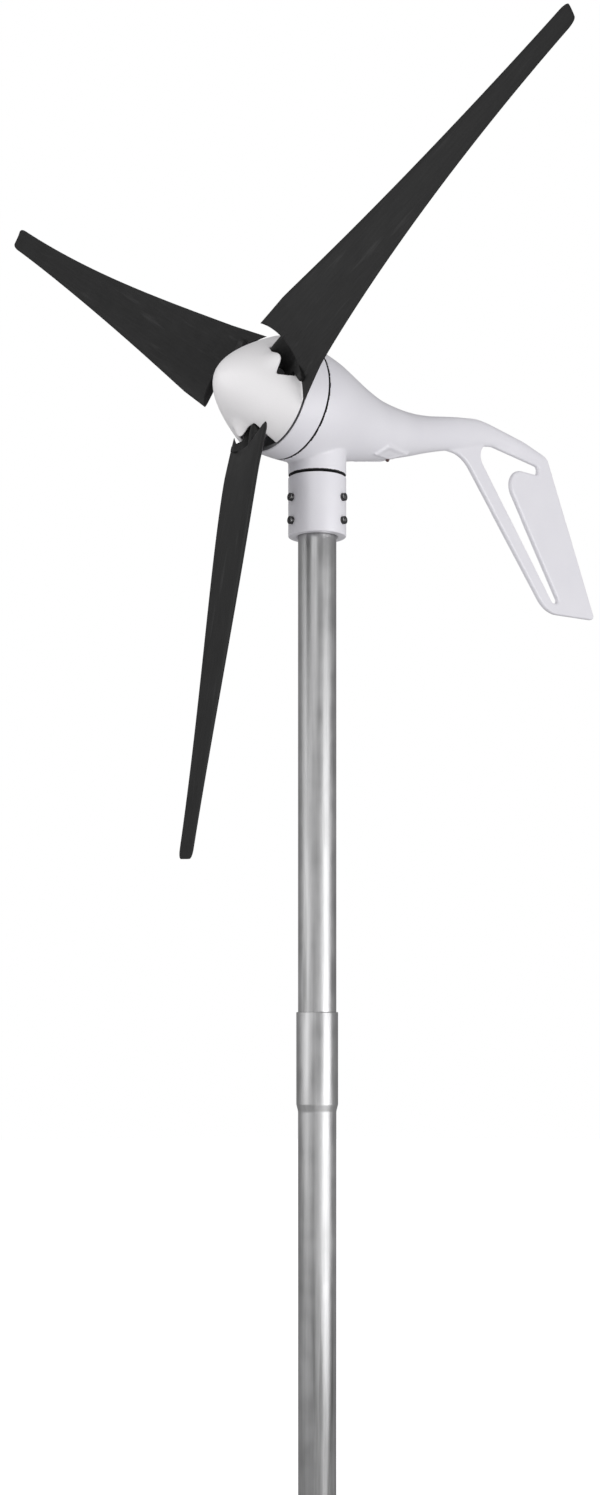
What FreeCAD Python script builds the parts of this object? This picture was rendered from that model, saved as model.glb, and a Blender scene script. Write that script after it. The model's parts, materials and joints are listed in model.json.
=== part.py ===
"""Three-blade micro wind turbine on a two-piece tube mast. Sizes are in millimetres.

Row frame: the origin is the centre of the mast's foot, +Z runs up the mast, the nose points to -Y and +X is
to the right seen from the front. The rotor shaft crosses the yaw axis at AXIS_Z, tilted nose up by TILT.
Pieces on the shaft are modelled in its own frame: Z forward from the yaw axis, Y up, X as the row's X.
A "station" is a distance along that shaft. A blade is modelled with its span along +X of the shaft frame.
"""
import FreeCAD
import Part
import math
import os

# Mast: 1 1/2 inch schedule 40 tube
TUBE_R = 24.13
TUBE_WALL = 3.68
LOWER_TUBE_LENGTH = 684.0
UPPER_TUBE_EXPOSED = 598.0
SOCKET_DEPTH = 116.0
SOCKET_WALL = 2.07
SOCKET_CLEARANCE = 0.15
SWAGE_LENGTH = 9.0

# Yaw collar and its screws
COLLAR_R = 36.5
COLLAR_LENGTH = 74.0
COLLAR_GRIP = 62.0
COLLAR_CLEARANCE = 0.25
COLLAR_MOUTH_CHAMFER = 2.2
COLLAR_SCREW_R = 2.5
COLLAR_SCREW_CLEARANCE = 0.1
COLLAR_SCREW_HEAD = (4.25, 4.8)
COLLAR_SCREW_HEAD_ROUND = 1.0
COLLAR_SCREW_ROWS = (17.0, 46.0)
COLLAR_SCREW_AZIMUTH = 17.9

# Yaw shaft, bearings and slip rings
YAW_GAP = 1.6
NECK_R = 36.5
NECK_DROP = 82.4
NECK_LIP = 2.0
NECK_LIP_REACH = 3.0
YAW_SHAFT_R = 12.5
YAW_SHAFT_BORE_R = 7.0
YAW_SHAFT_SHOULDER = 2.0
YAW_SHAFT_FLANGE_INSET = 1.5
YAW_SHAFT_FLANGE = 3.0
YAW_BEARING_RACES = 8.5
YAW_BEARING = (YAW_SHAFT_R, YAW_SHAFT_R + YAW_BEARING_RACES, 9.0)
YAW_SEAL_THICKNESS = 4.0
YAW_SEAL_INSET = 1.0
YAW_BEARING_SPACING = 3.8
RETAINING_RING = (YAW_SHAFT_R + 3.0, 1.4)
RETAINING_RING_GROOVE = 0.8
SLIP_RING_STANDOFF = 2.5
SLIP_RING_R = YAW_SHAFT_R + SLIP_RING_STANDOFF
SLIP_RING_WALL = 1.4
SLIP_RING_WIDTH = 8.0
SLIP_RING_PITCH = 11.0
SLIP_RING_COUNT = 3
RUNNING_CLEARANCE = 0.05

# Brushes
BRUSH_SIDE = 6.0
BRUSH_LENGTH = 13.0
BRUSH_GAP = 0.1
BRUSH_SLOT_CLEARANCE = 0.2
BRUSH_SPRING_LENGTH = 11.0
BRUSH_SPRING_R = 2.3
BRUSH_SPRING_WIRE_R = 0.35
BRUSH_SPRING_TURNS = 6
HOLDER_BACK = 2.5
HOLDER_HALF_WIDTH = 7.0
HOLDER_FOOT = (16.0, 12.0, 2.5)
HOLDER_LIFT = 4.5
HOLDER_TRIM = 2.5
HOLDER_FOOT_Y = 12.0
HOLDER_SCREW_X = 12.0

# Shaft frame and rotor head
TILT = 4.75
NACELLE_R = 71.8
FACE_JOINT = 45.7
JOINT_GAP = 1.4
FACE_RIM_REACH = 4.5
FACE_RIM_WALL = 5.3
FACE_WALL = 6.0
FACE_BOSS_R = 25.0
FACE_BOSS_LIP = 0.5
FACE_BOSS_DEPTH = 3.0
FACE_SCREW_CIRCLE_R = 62.0
FACE_SCREW_COUNT = 6
FACE_SCREW_R = 2.5
FACE_SCREW_GRIP = 12.0
GASKET_INSET = 1.2

# Generator
STATOR_R = 56.0
STATOR_BORE_R = 37.0
STATOR_BACK = 26.0
STATOR_LENGTH = 24.0
SLOT_COUNT = 18
SLOT_WIDTH = 6.4
SLOT_DEPTH = (39.0, 49.5)
SLOT_MOUTH = 2.6
WINDING_CLEARANCE = 0.2
END_TURN_LENGTH = 5.4
END_TURN_CLEARANCE = 4.6
END_TURN_R = 48.5
MAGNET_COUNT = 12
MAGNET_THICKNESS = 5.5
MAGNET_GAP_ANGLE = 4.0
GLUE_LINE = 0.05
AIR_GAP = 0.7
MAGNET_INSET = (4.5, 1.0)

# Rotor shaft and its bearings (bore radius, outside radius, width)
REAR_BEARING = (7.5, 17.5, 11.0)
FRONT_BEARING = (8.5, 20.0, 12.0)
SHAFT_MIDDLE_R = 9.5
SHAFT_BACK = 14.0
FRONT_BEARING_SHOULDER = 2.0
WAVE_WASHER = 0.8
CARRIER_BACK = 16.0
CARRIER_THICKNESS = 4.0
CARRIER_BOSS_WALL = 4.5
CARRIER_OPENING_R = 48.0
CARRIER_VENT = (9.0, 35.0, 6)
CARRIER_SCREW_CIRCLE_R = 51.6
CARRIER_SCREW_COUNT = 3
SHAFT_SEAL = (17.0, 4.0)
SHAFT_SEAL_GAP = 1.0

# Hub, fasteners
HUB_GAP = 4.0
HUB_THICKNESS = 6.0
HUB_R = 56.0
HUB_THREAD_R = 6.0
HUB_NUT = (10.0, 9.5)
HUB_WASHER = (11.5, 2.0)
BLADE_BOLT_R = 3.0
BLADE_BOLT_RADII = (28.0, 46.0)
BLADE_BOLT_OFFSET = -2.0
BLADE_BOLT_HEAD = (5.0, 5.5)
BLADE_NUT = (5.2, 4.6)
BLADE_WASHER = (6.2, 1.2)
BOLT_CLEARANCE = 0.2

# Blades
BLADE_AZIMUTHS = (27.07, 147.07, 267.07)
BLADE_ROOT_R = 100.0
BLADE_TIP_R = 586.0
BLADE_TIP_CHORD = 27.6
BLADE_CHORD_GAIN = 72.7
BLADE_TIP_TWIST = 2.5
BLADE_TWIST_GAIN = 13.8
BLADE_ROOT_LIFT = 22.4
BLADE_RAKE = 30.8
BLADE_BOW = 4.3
BLADE_TIP_THICKNESS = 3.0
BLADE_THICKNESS_GAIN = 9.0
BLADE_CAMBER = 0.035
BLADE_INNER_R = 73.6
BLADE_NECK = (-21.0, 17.5)
BLADE_BLOCK = (20.0, 60.0, -20.0, 17.0, 14.0)
BLADE_SPANS = (37.0, 70.0, 100.0, 140.0, 190.0, 260.0, 340.0, 430.0, 520.0)

# Nose cone; its stations are measured from its back edge
NOSE_BASE_R = 71.8
NOSE_PROFILE = ((8.6, 67.2), (18.6, 62.0), (35.6, 52.3), (53.6, 39.8), (68.6, 26.0), (77.6, 13.0))
NOSE_LENGTH = 81.6
NOSE_WALL = 2.5
NOTCH_ANGLES = (-24.0, 21.0)
NOTCH_LENGTH = 34.1
EAR_AZIMUTH = -5.4
EAR_BASE = (36.0, 48.6, 15.0, 5.0)
EAR_MIDDLE = (52.0, 40.1, 9.5, 3.2)
EAR_TIP = (63.0, 34.6, 3.2, 1.6)
CLIP_WIDTH = 8.0
CLIP_WALL = 2.6
CLIP_CLEARANCE = 0.3
CLIP_AZIMUTH = 58.5

# Body casting: (y, top, bottom, half width) of its sections behind the joint, heights from the shaft axis
BODY_SECTIONS = (
    (-18.0, 70.4, -67.8, 69.5),
    (5.0, 64.3, -63.8, 64.0),
    (32.0, 54.3, -57.2, 55.5),
    (60.0, 43.9, -51.0, 47.0),
    (90.0, 34.9, -45.2, 39.5),
    (125.0, 30.2, -37.2, 32.5),
    (160.0, 29.2, -27.4, 25.5),
    (195.0, 32.2, -16.4, 19.0),
    (230.0, 38.2, -7.0, 14.5),
    (265.0, 43.6, 0.5, 11.5),
    (300.0, 46.0, 11.0, 9.3),
    (340.0, 40.8, 16.0, 7.6),
    (385.0, 32.6, 12.5, 6.0),
    (422.0, 23.4, 8.0, 4.9),
)
BODY_WALL = 4.0
CAVITY_SECTIONS = 7
FIN_THICKNESS = 8.0
FIN_EDGE_RADIUS = 2.4
# Fin outline and slot as (y, z, corner radius), heights from the shaft axis
FIN_OUTLINE = (
    (228.0, -6.0, 0.0),
    (272.5, -7.0, 50.0),
    (441.5, -197.5, 50.0),
    (537.0, -194.4, 5.0),
    (434.0, 19.5, 16.0),
    (385.0, 33.2, 150.0),
    (292.0, 47.6, 100.0),
    (228.0, 37.0, 0.0),
)
FIN_SLOT = (
    (274.8, 21.0, 17.0),
    (416.5, 3.6, 4.0),
    (414.5, -8.0, 4.0),
    (338.0, -7.5, 22.0),
    (460.5, -180.5, 4.0),
    (445.5, -182.0, 5.0),
)

# Electronics behind the generator
BOARD_SIZE = (44.0, 62.0, 1.6)
BOARD_Y = 54.0
BOARD_Z = -6.0
BOARD_SCREW_INSET = 4.0
POST_R = 3.2
RECTIFIER_SIZE = (26.0, 26.0, 9.0)
CAPACITOR_R = 6.5
CAPACITOR_HEIGHT = 18.0
CAPACITOR_COUNT = 3
LIGHT_Y = 124.0
LIGHT_R = 2.6
LIGHT_PROUD = 3.5
LIGHT_BOSS_R = 6.0

# Places that follow from the sizes above
COLLAR_Z = LOWER_TUBE_LENGTH + UPPER_TUBE_EXPOSED
COLLAR_TOP = COLLAR_Z + COLLAR_LENGTH
COLLAR_WEB_Z = COLLAR_Z + COLLAR_GRIP
TUBE_TOP = COLLAR_WEB_Z - YAW_SHAFT_FLANGE
NECK_Z = COLLAR_TOP + YAW_GAP
AXIS_Z = NECK_Z + NECK_DROP
YAW_SEAL_Z = NECK_Z + YAW_SEAL_INSET
YAW_LOWER_Z = YAW_SEAL_Z + YAW_SEAL_THICKNESS + 0.2
YAW_UPPER_Z = YAW_LOWER_Z + YAW_BEARING[2] + YAW_BEARING_SPACING
YAW_RING_Z = YAW_UPPER_Z + YAW_BEARING[2]
BOSS_TOP = YAW_RING_Z + NECK_LIP
SLIP_HUB_Z = YAW_RING_Z + RETAINING_RING[1]
SLIP_HUB_FOOT = 4.5
SLIP_RING_Z = SLIP_HUB_Z + SLIP_HUB_FOOT + SLIP_RING_PITCH - SLIP_RING_WIDTH
SLIP_HUB_TOP = SLIP_RING_Z + SLIP_RING_COUNT * SLIP_RING_PITCH
YAW_SHAFT_TOP = SLIP_HUB_TOP + 2.0
FACE_BACK = FACE_JOINT + JOINT_GAP
STATOR_FRONT = STATOR_BACK + STATOR_LENGTH
FACE_WALL_BACK = STATOR_FRONT + END_TURN_LENGTH + END_TURN_CLEARANCE
FACE_WALL_FRONT = FACE_WALL_BACK + FACE_WALL
FRONT_BEARING_BACK = FACE_WALL_BACK - FRONT_BEARING_SHOULDER
SHAFT_SEAL_BACK = FRONT_BEARING_BACK + FRONT_BEARING[2] + SHAFT_SEAL_GAP
FACE_BOSS_FRONT = SHAFT_SEAL_BACK + SHAFT_SEAL[1] + FACE_BOSS_LIP
FACE_FRONT = FACE_BOSS_FRONT + FACE_RIM_REACH
MAGNET_CARRIER = (STATOR_BACK + MAGNET_INSET[0], STATOR_FRONT - MAGNET_INSET[1])
MAGNET_R = STATOR_BORE_R - AIR_GAP
CARRIER_FRONT = CARRIER_BACK + CARRIER_THICKNESS
REAR_BEARING_BACK = CARRIER_BACK + 2.0 + WAVE_WASHER
HUB_BACK = FACE_FRONT + HUB_GAP
HUB_FRONT = HUB_BACK + HUB_THICKNESS
NOSE_BACK = FACE_FRONT + JOINT_GAP
NOSE_TIP = NOSE_BACK + NOSE_LENGTH
BLADE_ROOT_STATION = HUB_FRONT + BLADE_ROOT_LIFT
SHAFT_TILT = FreeCAD.Rotation(FreeCAD.Vector(1, 0, 0), 90.0 - TILT)
SHAFT_PLACE = FreeCAD.Placement(FreeCAD.Vector(0, 0, AXIS_Z), SHAFT_TILT)
UP = FreeCAD.Vector(0, 0, 1)


def vec(x, y, z):
    return FreeCAD.Vector(x, y, z)


def cylinder(radius, low, high, x=0.0, y=0.0):
    return Part.makeCylinder(radius, high - low, vec(x, y, low))


def ring(outer, inner, low, high):
    return cylinder(outer, low, high).cut(cylinder(inner, low, high))


def box(low, high):
    size = vec(*high) - vec(*low)
    return Part.makeBox(size.x, size.y, size.z, vec(*low))


def hexagon(across_flats_r, low, high):
    corner = across_flats_r / math.cos(math.radians(30))
    points = [vec(corner * math.cos(a), corner * math.sin(a), low) for a in sixths()]
    return Part.Face(Part.makePolygon(points)).extrude(vec(0, 0, high - low))


def sixths():
    return [math.radians(60 * i) for i in range(7)]


def turned(shape, angle, axis=UP):
    copy = shape.copy()
    copy.rotate(vec(0, 0, 0), axis, angle)
    return copy


def moved(shape, x, y, z):
    copy = shape.copy()
    copy.translate(vec(x, y, z))
    return copy


def polar(shape, count, start=0.0):
    return [turned(shape, start + 360.0 * i / count) for i in range(count)]


def cut_all(shape, tools):
    for tool in tools:
        shape = shape.cut(tool)
    return shape


def fuse_all(shapes):
    return shapes[0].multiFuse(shapes[1:]).removeSplitter()


def revolved(profile):
    """Solid of revolution about Z of a closed (radius, z) profile."""
    points = [vec(r, 0, z) for r, z in profile]
    face = Part.Face(Part.makePolygon(points + points[:1]))
    return face.revolve(vec(0, 0, 0), UP, 360)


def on_shaft(shape):
    """Moves a shape, or a list of them, from the shaft frame to the row frame."""
    placed = Part.makeCompound(shape) if isinstance(shape, list) else shape.copy()
    placed.Placement = SHAFT_PLACE.multiply(placed.Placement)
    return placed


def save(name, shape):
    if isinstance(shape, list):
        shape = Part.makeCompound(shape)
    shape.exportStep("parts/" + name + ".step")


def ball_bearing(size, low):
    """Outer race, inner race and balls of a deep groove bearing whose back face is at low."""
    inner, outer, width = size
    race = 0.29 * (outer - inner)
    ball = 0.27 * (outer - inner)
    pitch = (inner + outer) / 2
    middle = low + width / 2
    groove = Part.makeTorus(pitch, ball + RUNNING_CLEARANCE, vec(0, 0, middle), UP)
    outer_race = ring(outer, outer - race, low, low + width).cut(groove)
    inner_race = ring(inner + race, inner, low, low + width).cut(groove)
    count = int(math.pi * pitch / ball / 1.25)
    balls = polar(Part.makeSphere(ball, vec(pitch, 0, middle)), count)
    return outer_race, inner_race, balls


def socket_screw(radius, length, head_r, head, socket=0.45):
    """Socket head screw: the head stands on z = 0 and the shank runs down to -length."""
    shank = cylinder(radius, -length, 0.0)
    cap = cylinder(head_r, 0.0, head)
    key = hexagon(head_r * socket, head * 0.4, head + 1.0)
    return shank.fuse(cap).cut(key)


# ---- Mast -------------------------------------------------------------------------------------------------

def lower_mast_tube():
    bore = TUBE_R - TUBE_WALL
    socket = TUBE_R + SOCKET_CLEARANCE
    seat = LOWER_TUBE_LENGTH - SOCKET_DEPTH
    return revolved((
        (bore, 0.0), (TUBE_R, 0.0), (TUBE_R, seat - SWAGE_LENGTH), (socket + SOCKET_WALL, seat),
        (socket + SOCKET_WALL, LOWER_TUBE_LENGTH), (socket, LOWER_TUBE_LENGTH), (socket, seat), (bore, seat),
    ))


def upper_mast_tube():
    return ring(TUBE_R, TUBE_R - TUBE_WALL, LOWER_TUBE_LENGTH - SOCKET_DEPTH, TUBE_TOP)


def collar_screw(row):
    """One radial socket head screw along +X: its point meets the tube's wall and its head seats on the collar."""
    head_r, head = COLLAR_SCREW_HEAD
    screw = socket_screw(COLLAR_SCREW_R, COLLAR_R - TUBE_R, head_r, head)
    rim = [e for e in screw.Edges if abs(e.BoundBox.XLength - 2 * head_r) < 0.01 and e.BoundBox.ZMin > head - 0.01]
    screw = screw.makeFillet(COLLAR_SCREW_HEAD_ROUND, rim)
    return moved(turned(screw, 90.0, vec(0, 1, 0)), COLLAR_R, 0, COLLAR_Z + row)


def collar_screws():
    screws = []
    for row in COLLAR_SCREW_ROWS:
        screws += polar(collar_screw(row), 3, COLLAR_SCREW_AZIMUTH)
    return screws


def yaw_collar():
    grip = TUBE_R + COLLAR_CLEARANCE
    mouth = grip + COLLAR_MOUTH_CHAMFER
    body = revolved((
        (mouth, COLLAR_Z), (COLLAR_R - 1.0, COLLAR_Z), (COLLAR_R, COLLAR_Z + 1.0), (COLLAR_R, COLLAR_TOP),
        (YAW_SHAFT_R, COLLAR_TOP), (YAW_SHAFT_R, COLLAR_WEB_Z), (grip, COLLAR_WEB_Z),
        (grip, COLLAR_Z + COLLAR_MOUTH_CHAMFER),
    ))
    hole_r = COLLAR_SCREW_R + COLLAR_SCREW_CLEARANCE
    for row in COLLAR_SCREW_ROWS:
        hole = Part.makeCylinder(hole_r, COLLAR_R, vec(TUBE_R - 4.0, 0, COLLAR_Z + row), vec(1, 0, 0))
        body = cut_all(body, polar(hole, 3, COLLAR_SCREW_AZIMUTH))
    return body


def yaw_shaft():
    shoulder = YAW_SHAFT_R + YAW_SHAFT_SHOULDER
    shaft = fuse_all([
        cylinder(YAW_SHAFT_R, TUBE_TOP, YAW_SHAFT_TOP),
        cylinder(shoulder, COLLAR_TOP, YAW_LOWER_Z),
        cylinder(TUBE_R - YAW_SHAFT_FLANGE_INSET, TUBE_TOP, COLLAR_WEB_Z),
    ])
    groove = ring(YAW_SHAFT_R + 1.0, YAW_SHAFT_R - RETAINING_RING_GROOVE, YAW_RING_Z, SLIP_HUB_Z)
    return shaft.cut(groove).cut(cylinder(YAW_SHAFT_BORE_R, TUBE_TOP, YAW_SHAFT_TOP))


def retaining_ring():
    full = ring(RETAINING_RING[0], YAW_SHAFT_R - RETAINING_RING_GROOVE, YAW_RING_Z, SLIP_HUB_Z)
    return full.cut(box((0, -3.0, YAW_RING_Z), (RETAINING_RING[0] + 1.0, 3.0, SLIP_HUB_Z)))


def slip_ring_levels():
    return [SLIP_RING_Z + i * SLIP_RING_PITCH for i in range(SLIP_RING_COUNT)]


def slip_ring_hub():
    hub = ring(SLIP_RING_R - 0.4, YAW_SHAFT_R, SLIP_HUB_Z, SLIP_HUB_TOP)
    for low in slip_ring_levels():
        hub = hub.cut(ring(SLIP_RING_R, SLIP_RING_R - SLIP_RING_WALL, low, low + SLIP_RING_WIDTH))
    return hub


def slip_rings():
    inner = SLIP_RING_R - SLIP_RING_WALL
    return [ring(SLIP_RING_R, inner, low, low + SLIP_RING_WIDTH) for low in slip_ring_levels()]


def build_mast():
    save("lower_mast_tube", lower_mast_tube())
    save("upper_mast_tube", upper_mast_tube())
    save("yaw_collar", yaw_collar())
    save("collar_screws", collar_screws())
    save("yaw_shaft", yaw_shaft())
    race_r = YAW_SHAFT_R + YAW_SHAFT_SHOULDER
    save("yaw_bearing_spacer", ring(race_r, YAW_SHAFT_R, YAW_LOWER_Z + YAW_BEARING[2], YAW_UPPER_Z))
    save("retaining_ring", retaining_ring())
    save("slip_ring_hub", slip_ring_hub())
    save("slip_rings", slip_rings())
    for name, low in (("yaw_lower", YAW_LOWER_Z), ("yaw_upper", YAW_UPPER_Z)):
        outer_race, inner_race, balls = ball_bearing(YAW_BEARING, low)
        save(name + "_outer_race", outer_race)
        save(name + "_inner_race", inner_race)
        save(name + "_balls", balls)
    seal_r = YAW_SHAFT_R + YAW_SHAFT_SHOULDER + RUNNING_CLEARANCE
    save("yaw_seal", ring(YAW_BEARING[1], seal_r, YAW_SEAL_Z, YAW_SEAL_Z + YAW_SEAL_THICKNESS))


# ---- Body casting -----------------------------------------------------------------------------------------

def ellipse_wire(y, top, bottom, half_width):
    """Upright elliptical section at y; heights are measured from the shaft axis."""
    centre = vec(0, y, AXIS_Z + (top + bottom) / 2)
    half_height = (top - bottom) / 2
    tall = half_height > half_width
    major = vec(0, 0, half_height) if tall else vec(half_width, 0, 0)
    minor = vec(half_width, 0, 0) if tall else vec(0, 0, half_height)
    edge = Part.Ellipse(centre + major, centre + minor, centre).toShape()
    return start_at_side(edge, centre, half_width)


def start_at_side(edge, centre, half_width):
    """Rebuilds a closed edge so that every section of a loft starts at its +X side."""
    count = 24
    points = edge.discretize(Number=count + 1)[:-1]
    side = centre + vec(half_width, 0, 0)
    first = min(range(count), key=lambda i: points[i].distanceToPoint(side))
    points = points[first:] + points[:first]
    if points[1].z < centre.z:
        points = points[:1] + points[:0:-1]
    curve = Part.BSplineCurve()
    curve.interpolate(Points=points, PeriodicFlag=True)
    return Part.Wire([curve.toShape()])


def shaft_circle(radius, station):
    """Circle about the shaft, as a section of the same kind as ellipse_wire."""
    count = 24
    angles = [2 * math.pi * i / count for i in range(count)]
    points = [SHAFT_PLACE.multVec(vec(radius * math.cos(a), radius * math.sin(a), station)) for a in angles]
    curve = Part.BSplineCurve()
    curve.interpolate(Points=points, PeriodicFlag=True)
    return Part.Wire([curve.toShape()])


def body_outer():
    wires = [shaft_circle(NACELLE_R, FACE_JOINT)]
    wires += [ellipse_wire(*section) for section in BODY_SECTIONS]
    return Part.makeLoft(wires, True, False)


def body_cavity():
    wires = [shaft_circle(CARRIER_OPENING_R, CARRIER_BACK + 0.5)]
    for y, top, bottom, half_width in BODY_SECTIONS[1:CAVITY_SECTIONS]:
        wires.append(ellipse_wire(y, top - BODY_WALL, bottom + BODY_WALL, half_width - BODY_WALL))
    return Part.makeLoft(wires, True, False)


def rounded_outline(corners):
    """Closed wire in the plane x = 0 through (y, z, radius) corners, each rounded by its radius."""
    edges = []
    starts = []
    ends = []
    count = len(corners)
    for i in range(count):
        here = vec(0, corners[i][0], corners[i][1])
        before = (vec(0, corners[i - 1][0], corners[i - 1][1]) - here).normalize()
        after = (vec(0, corners[(i + 1) % count][0], corners[(i + 1) % count][1]) - here).normalize()
        radius = corners[i][2]
        half = before.getAngle(after) / 2
        reach = radius / math.tan(half)
        start = here + before * reach
        end = here + after * reach
        if radius > 0:
            middle = (before + after).normalize() * (radius / math.sin(half) - radius)
            edges.append(Part.Arc(start, here + middle, end).toShape())
        starts.append(start)
        ends.append(end)
    for i in range(count):
        if ends[i - 1].distanceToPoint(starts[i]) > 0.001:
            edges.append(Part.LineSegment(ends[i - 1], starts[i]).toShape())
    return Part.Wire(Part.__sortEdges__(edges))


def plate(corners, thickness):
    """Upright plate about the plane x = 0."""
    face = Part.Face(rounded_outline(corners))
    solid = face.extrude(vec(thickness, 0, 0))
    solid.translate(vec(-thickness / 2, 0, AXIS_Z))
    return solid


def round_face_edges(solid, thickness, edge_radius):
    side_edges = []
    for edge in solid.Edges:
        flat = edge.BoundBox.XLength < 0.001
        on_face = abs(abs(edge.BoundBox.Center.x) - thickness / 2) < 0.001
        if flat and on_face:
            side_edges.append(edge)
    return solid.makeFillet(edge_radius, side_edges)


def fin():
    slot = plate(FIN_SLOT, FIN_THICKNESS + 4.0)
    blank = plate(FIN_OUTLINE, FIN_THICKNESS).cut(slot)
    return round_face_edges(blank, FIN_THICKNESS, FIN_EDGE_RADIUS)


def board_corners():
    half_x = BOARD_SIZE[0] / 2 - BOARD_SCREW_INSET
    near = BOARD_Y + BOARD_SCREW_INSET
    far = BOARD_Y + BOARD_SIZE[1] - BOARD_SCREW_INSET
    return [(x, y) for x in (-half_x, half_x) for y in (near, far)]


def belly_height(y):
    """Height of the belly's lowest line at y, between two sections."""
    for low, high in zip(BODY_SECTIONS, BODY_SECTIONS[1:]):
        if low[0] <= y <= high[0]:
            share = (y - low[0]) / (high[0] - low[0])
            return AXIS_Z + low[2] + share * (high[2] - low[2])
    raise ValueError("y is outside the body")


def face_screw_holes(radius, low, high):
    hole = cylinder(radius, low, high, FACE_SCREW_CIRCLE_R)
    return polar(hole, FACE_SCREW_COUNT)


def body_casting():
    outer = body_outer()
    shell = outer.cut(body_cavity())
    neck = cylinder(NECK_R, NECK_Z, BOSS_TOP)
    posts = [cylinder(POST_R, AXIS_Z - 80.0, AXIS_Z + BOARD_Z, x, y) for x, y in board_corners()]
    posts = [post.common(outer) for post in posts]
    light_z = belly_height(LIGHT_Y)
    light_boss = cylinder(LIGHT_BOSS_R, light_z - 1.0, light_z + BODY_WALL, 0.0, LIGHT_Y)
    body = fuse_all([shell, fin(), neck, light_boss] + posts)
    body = body.cut(on_shaft(cylinder(STATOR_R, CARRIER_BACK, NACELLE_R)))
    body = body.cut(on_shaft(cylinder(CARRIER_OPENING_R, CARRIER_BACK - 6.0, CARRIER_BACK + 1.0)))
    body = body.cut(cylinder(YAW_BEARING[1], NECK_Z - 1.0, BOSS_TOP - NECK_LIP))
    body = body.cut(cylinder(YAW_BEARING[1] - NECK_LIP_REACH, NECK_Z, SLIP_HUB_TOP))
    body = body.cut(holder_pocket())
    body = cut_all(body, [on_shaft(h) for h in face_screw_holes(FACE_SCREW_R, FACE_JOINT - 14.0, FACE_FRONT)])
    carrier_hole = cylinder(1.5, CARRIER_BACK - 8.0, CARRIER_FRONT, CARRIER_SCREW_CIRCLE_R)
    body = cut_all(body, [on_shaft(h) for h in polar(carrier_hole, CARRIER_SCREW_COUNT, 90.0)])
    for x, y in board_corners():
        body = body.cut(cylinder(1.25, AXIS_Z + BOARD_Z - 9.0, AXIS_Z, x, y))
    for x in (-HOLDER_SCREW_X, HOLDER_SCREW_X):
        body = body.cut(cylinder(1.25, BOSS_TOP - 9.0, BOSS_TOP + 1.0, x, holder_screw_y()))
    return body.cut(cylinder(LIGHT_R, light_z - 5.0, light_z + BODY_WALL + 3.0, 0.0, LIGHT_Y))


def status_light():
    low = belly_height(LIGHT_Y) - LIGHT_PROUD
    lens = cylinder(LIGHT_R, low + LIGHT_R, belly_height(LIGHT_Y) + BODY_WALL, 0.0, LIGHT_Y)
    return lens.fuse(Part.makeSphere(LIGHT_R, vec(0, LIGHT_Y, low + LIGHT_R))).removeSplitter()


# ---- Nacelle fittings -------------------------------------------------------------------------------------

def face_casting():
    boss_back = FACE_WALL_BACK - FACE_BOSS_DEPTH
    bearing_r = FRONT_BEARING[1]
    bearing_front = FRONT_BEARING_BACK + FRONT_BEARING[2]
    seal_r = SHAFT_SEAL[0]
    body = revolved((
        (STATOR_R, FACE_BACK), (NACELLE_R, FACE_BACK), (NACELLE_R, FACE_FRONT - 1.0),
        (NACELLE_R - 1.0, FACE_FRONT), (NACELLE_R - FACE_RIM_WALL, FACE_FRONT),
        (NACELLE_R - FACE_RIM_WALL, FACE_WALL_FRONT), (FACE_BOSS_R, FACE_WALL_FRONT), (FACE_BOSS_R, FACE_BOSS_FRONT),
        (seal_r, FACE_BOSS_FRONT), (seal_r, SHAFT_SEAL_BACK), (seal_r - 3.0, SHAFT_SEAL_BACK),
        (seal_r - 3.0, bearing_front), (bearing_r, bearing_front), (bearing_r, boss_back),
        (FACE_BOSS_R, boss_back), (FACE_BOSS_R, FACE_WALL_BACK), (STATOR_R, FACE_WALL_BACK),
    ))
    return cut_all(body, face_screw_holes(FACE_SCREW_R + BOLT_CLEARANCE, FACE_BACK - 1.0, FACE_WALL_FRONT + 1.0))


def face_gasket():
    gasket = ring(NACELLE_R - GASKET_INSET, STATOR_R, FACE_JOINT, FACE_BACK)
    return cut_all(gasket, face_screw_holes(FACE_SCREW_R + BOLT_CLEARANCE, FACE_JOINT, FACE_BACK))


def face_screws():
    length = FACE_WALL_FRONT - FACE_JOINT + FACE_SCREW_GRIP
    screw = socket_screw(FACE_SCREW_R, length, 4.25, 4.5)
    return polar(moved(screw, FACE_SCREW_CIRCLE_R, 0, FACE_WALL_FRONT), FACE_SCREW_COUNT)


def bearing_carrier():
    boss_r = REAR_BEARING[1] + CARRIER_BOSS_WALL
    bearing_front = REAR_BEARING_BACK + REAR_BEARING[2]
    body = cylinder(STATOR_R, CARRIER_BACK, CARRIER_FRONT).fuse(cylinder(boss_r, CARRIER_BACK, bearing_front))
    body = body.cut(cylinder(REAR_BEARING[1], REAR_BEARING_BACK - WAVE_WASHER, bearing_front))
    body = body.cut(cylinder(REAR_BEARING[1] - 5.0, CARRIER_BACK, CARRIER_FRONT))
    vent_r, vent_circle, vents = CARRIER_VENT
    body = cut_all(body, polar(cylinder(vent_r, CARRIER_BACK, CARRIER_FRONT, vent_circle), vents, 30.0))
    hole = cylinder(1.5 + BOLT_CLEARANCE, CARRIER_BACK, CARRIER_FRONT, CARRIER_SCREW_CIRCLE_R)
    return cut_all(body, polar(hole, CARRIER_SCREW_COUNT, 90.0))


def carrier_screws():
    screw = socket_screw(1.5, CARRIER_THICKNESS + 6.0, 2.7, 2.2)
    return polar(moved(screw, CARRIER_SCREW_CIRCLE_R, 0, CARRIER_FRONT), CARRIER_SCREW_COUNT, 90.0)


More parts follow.
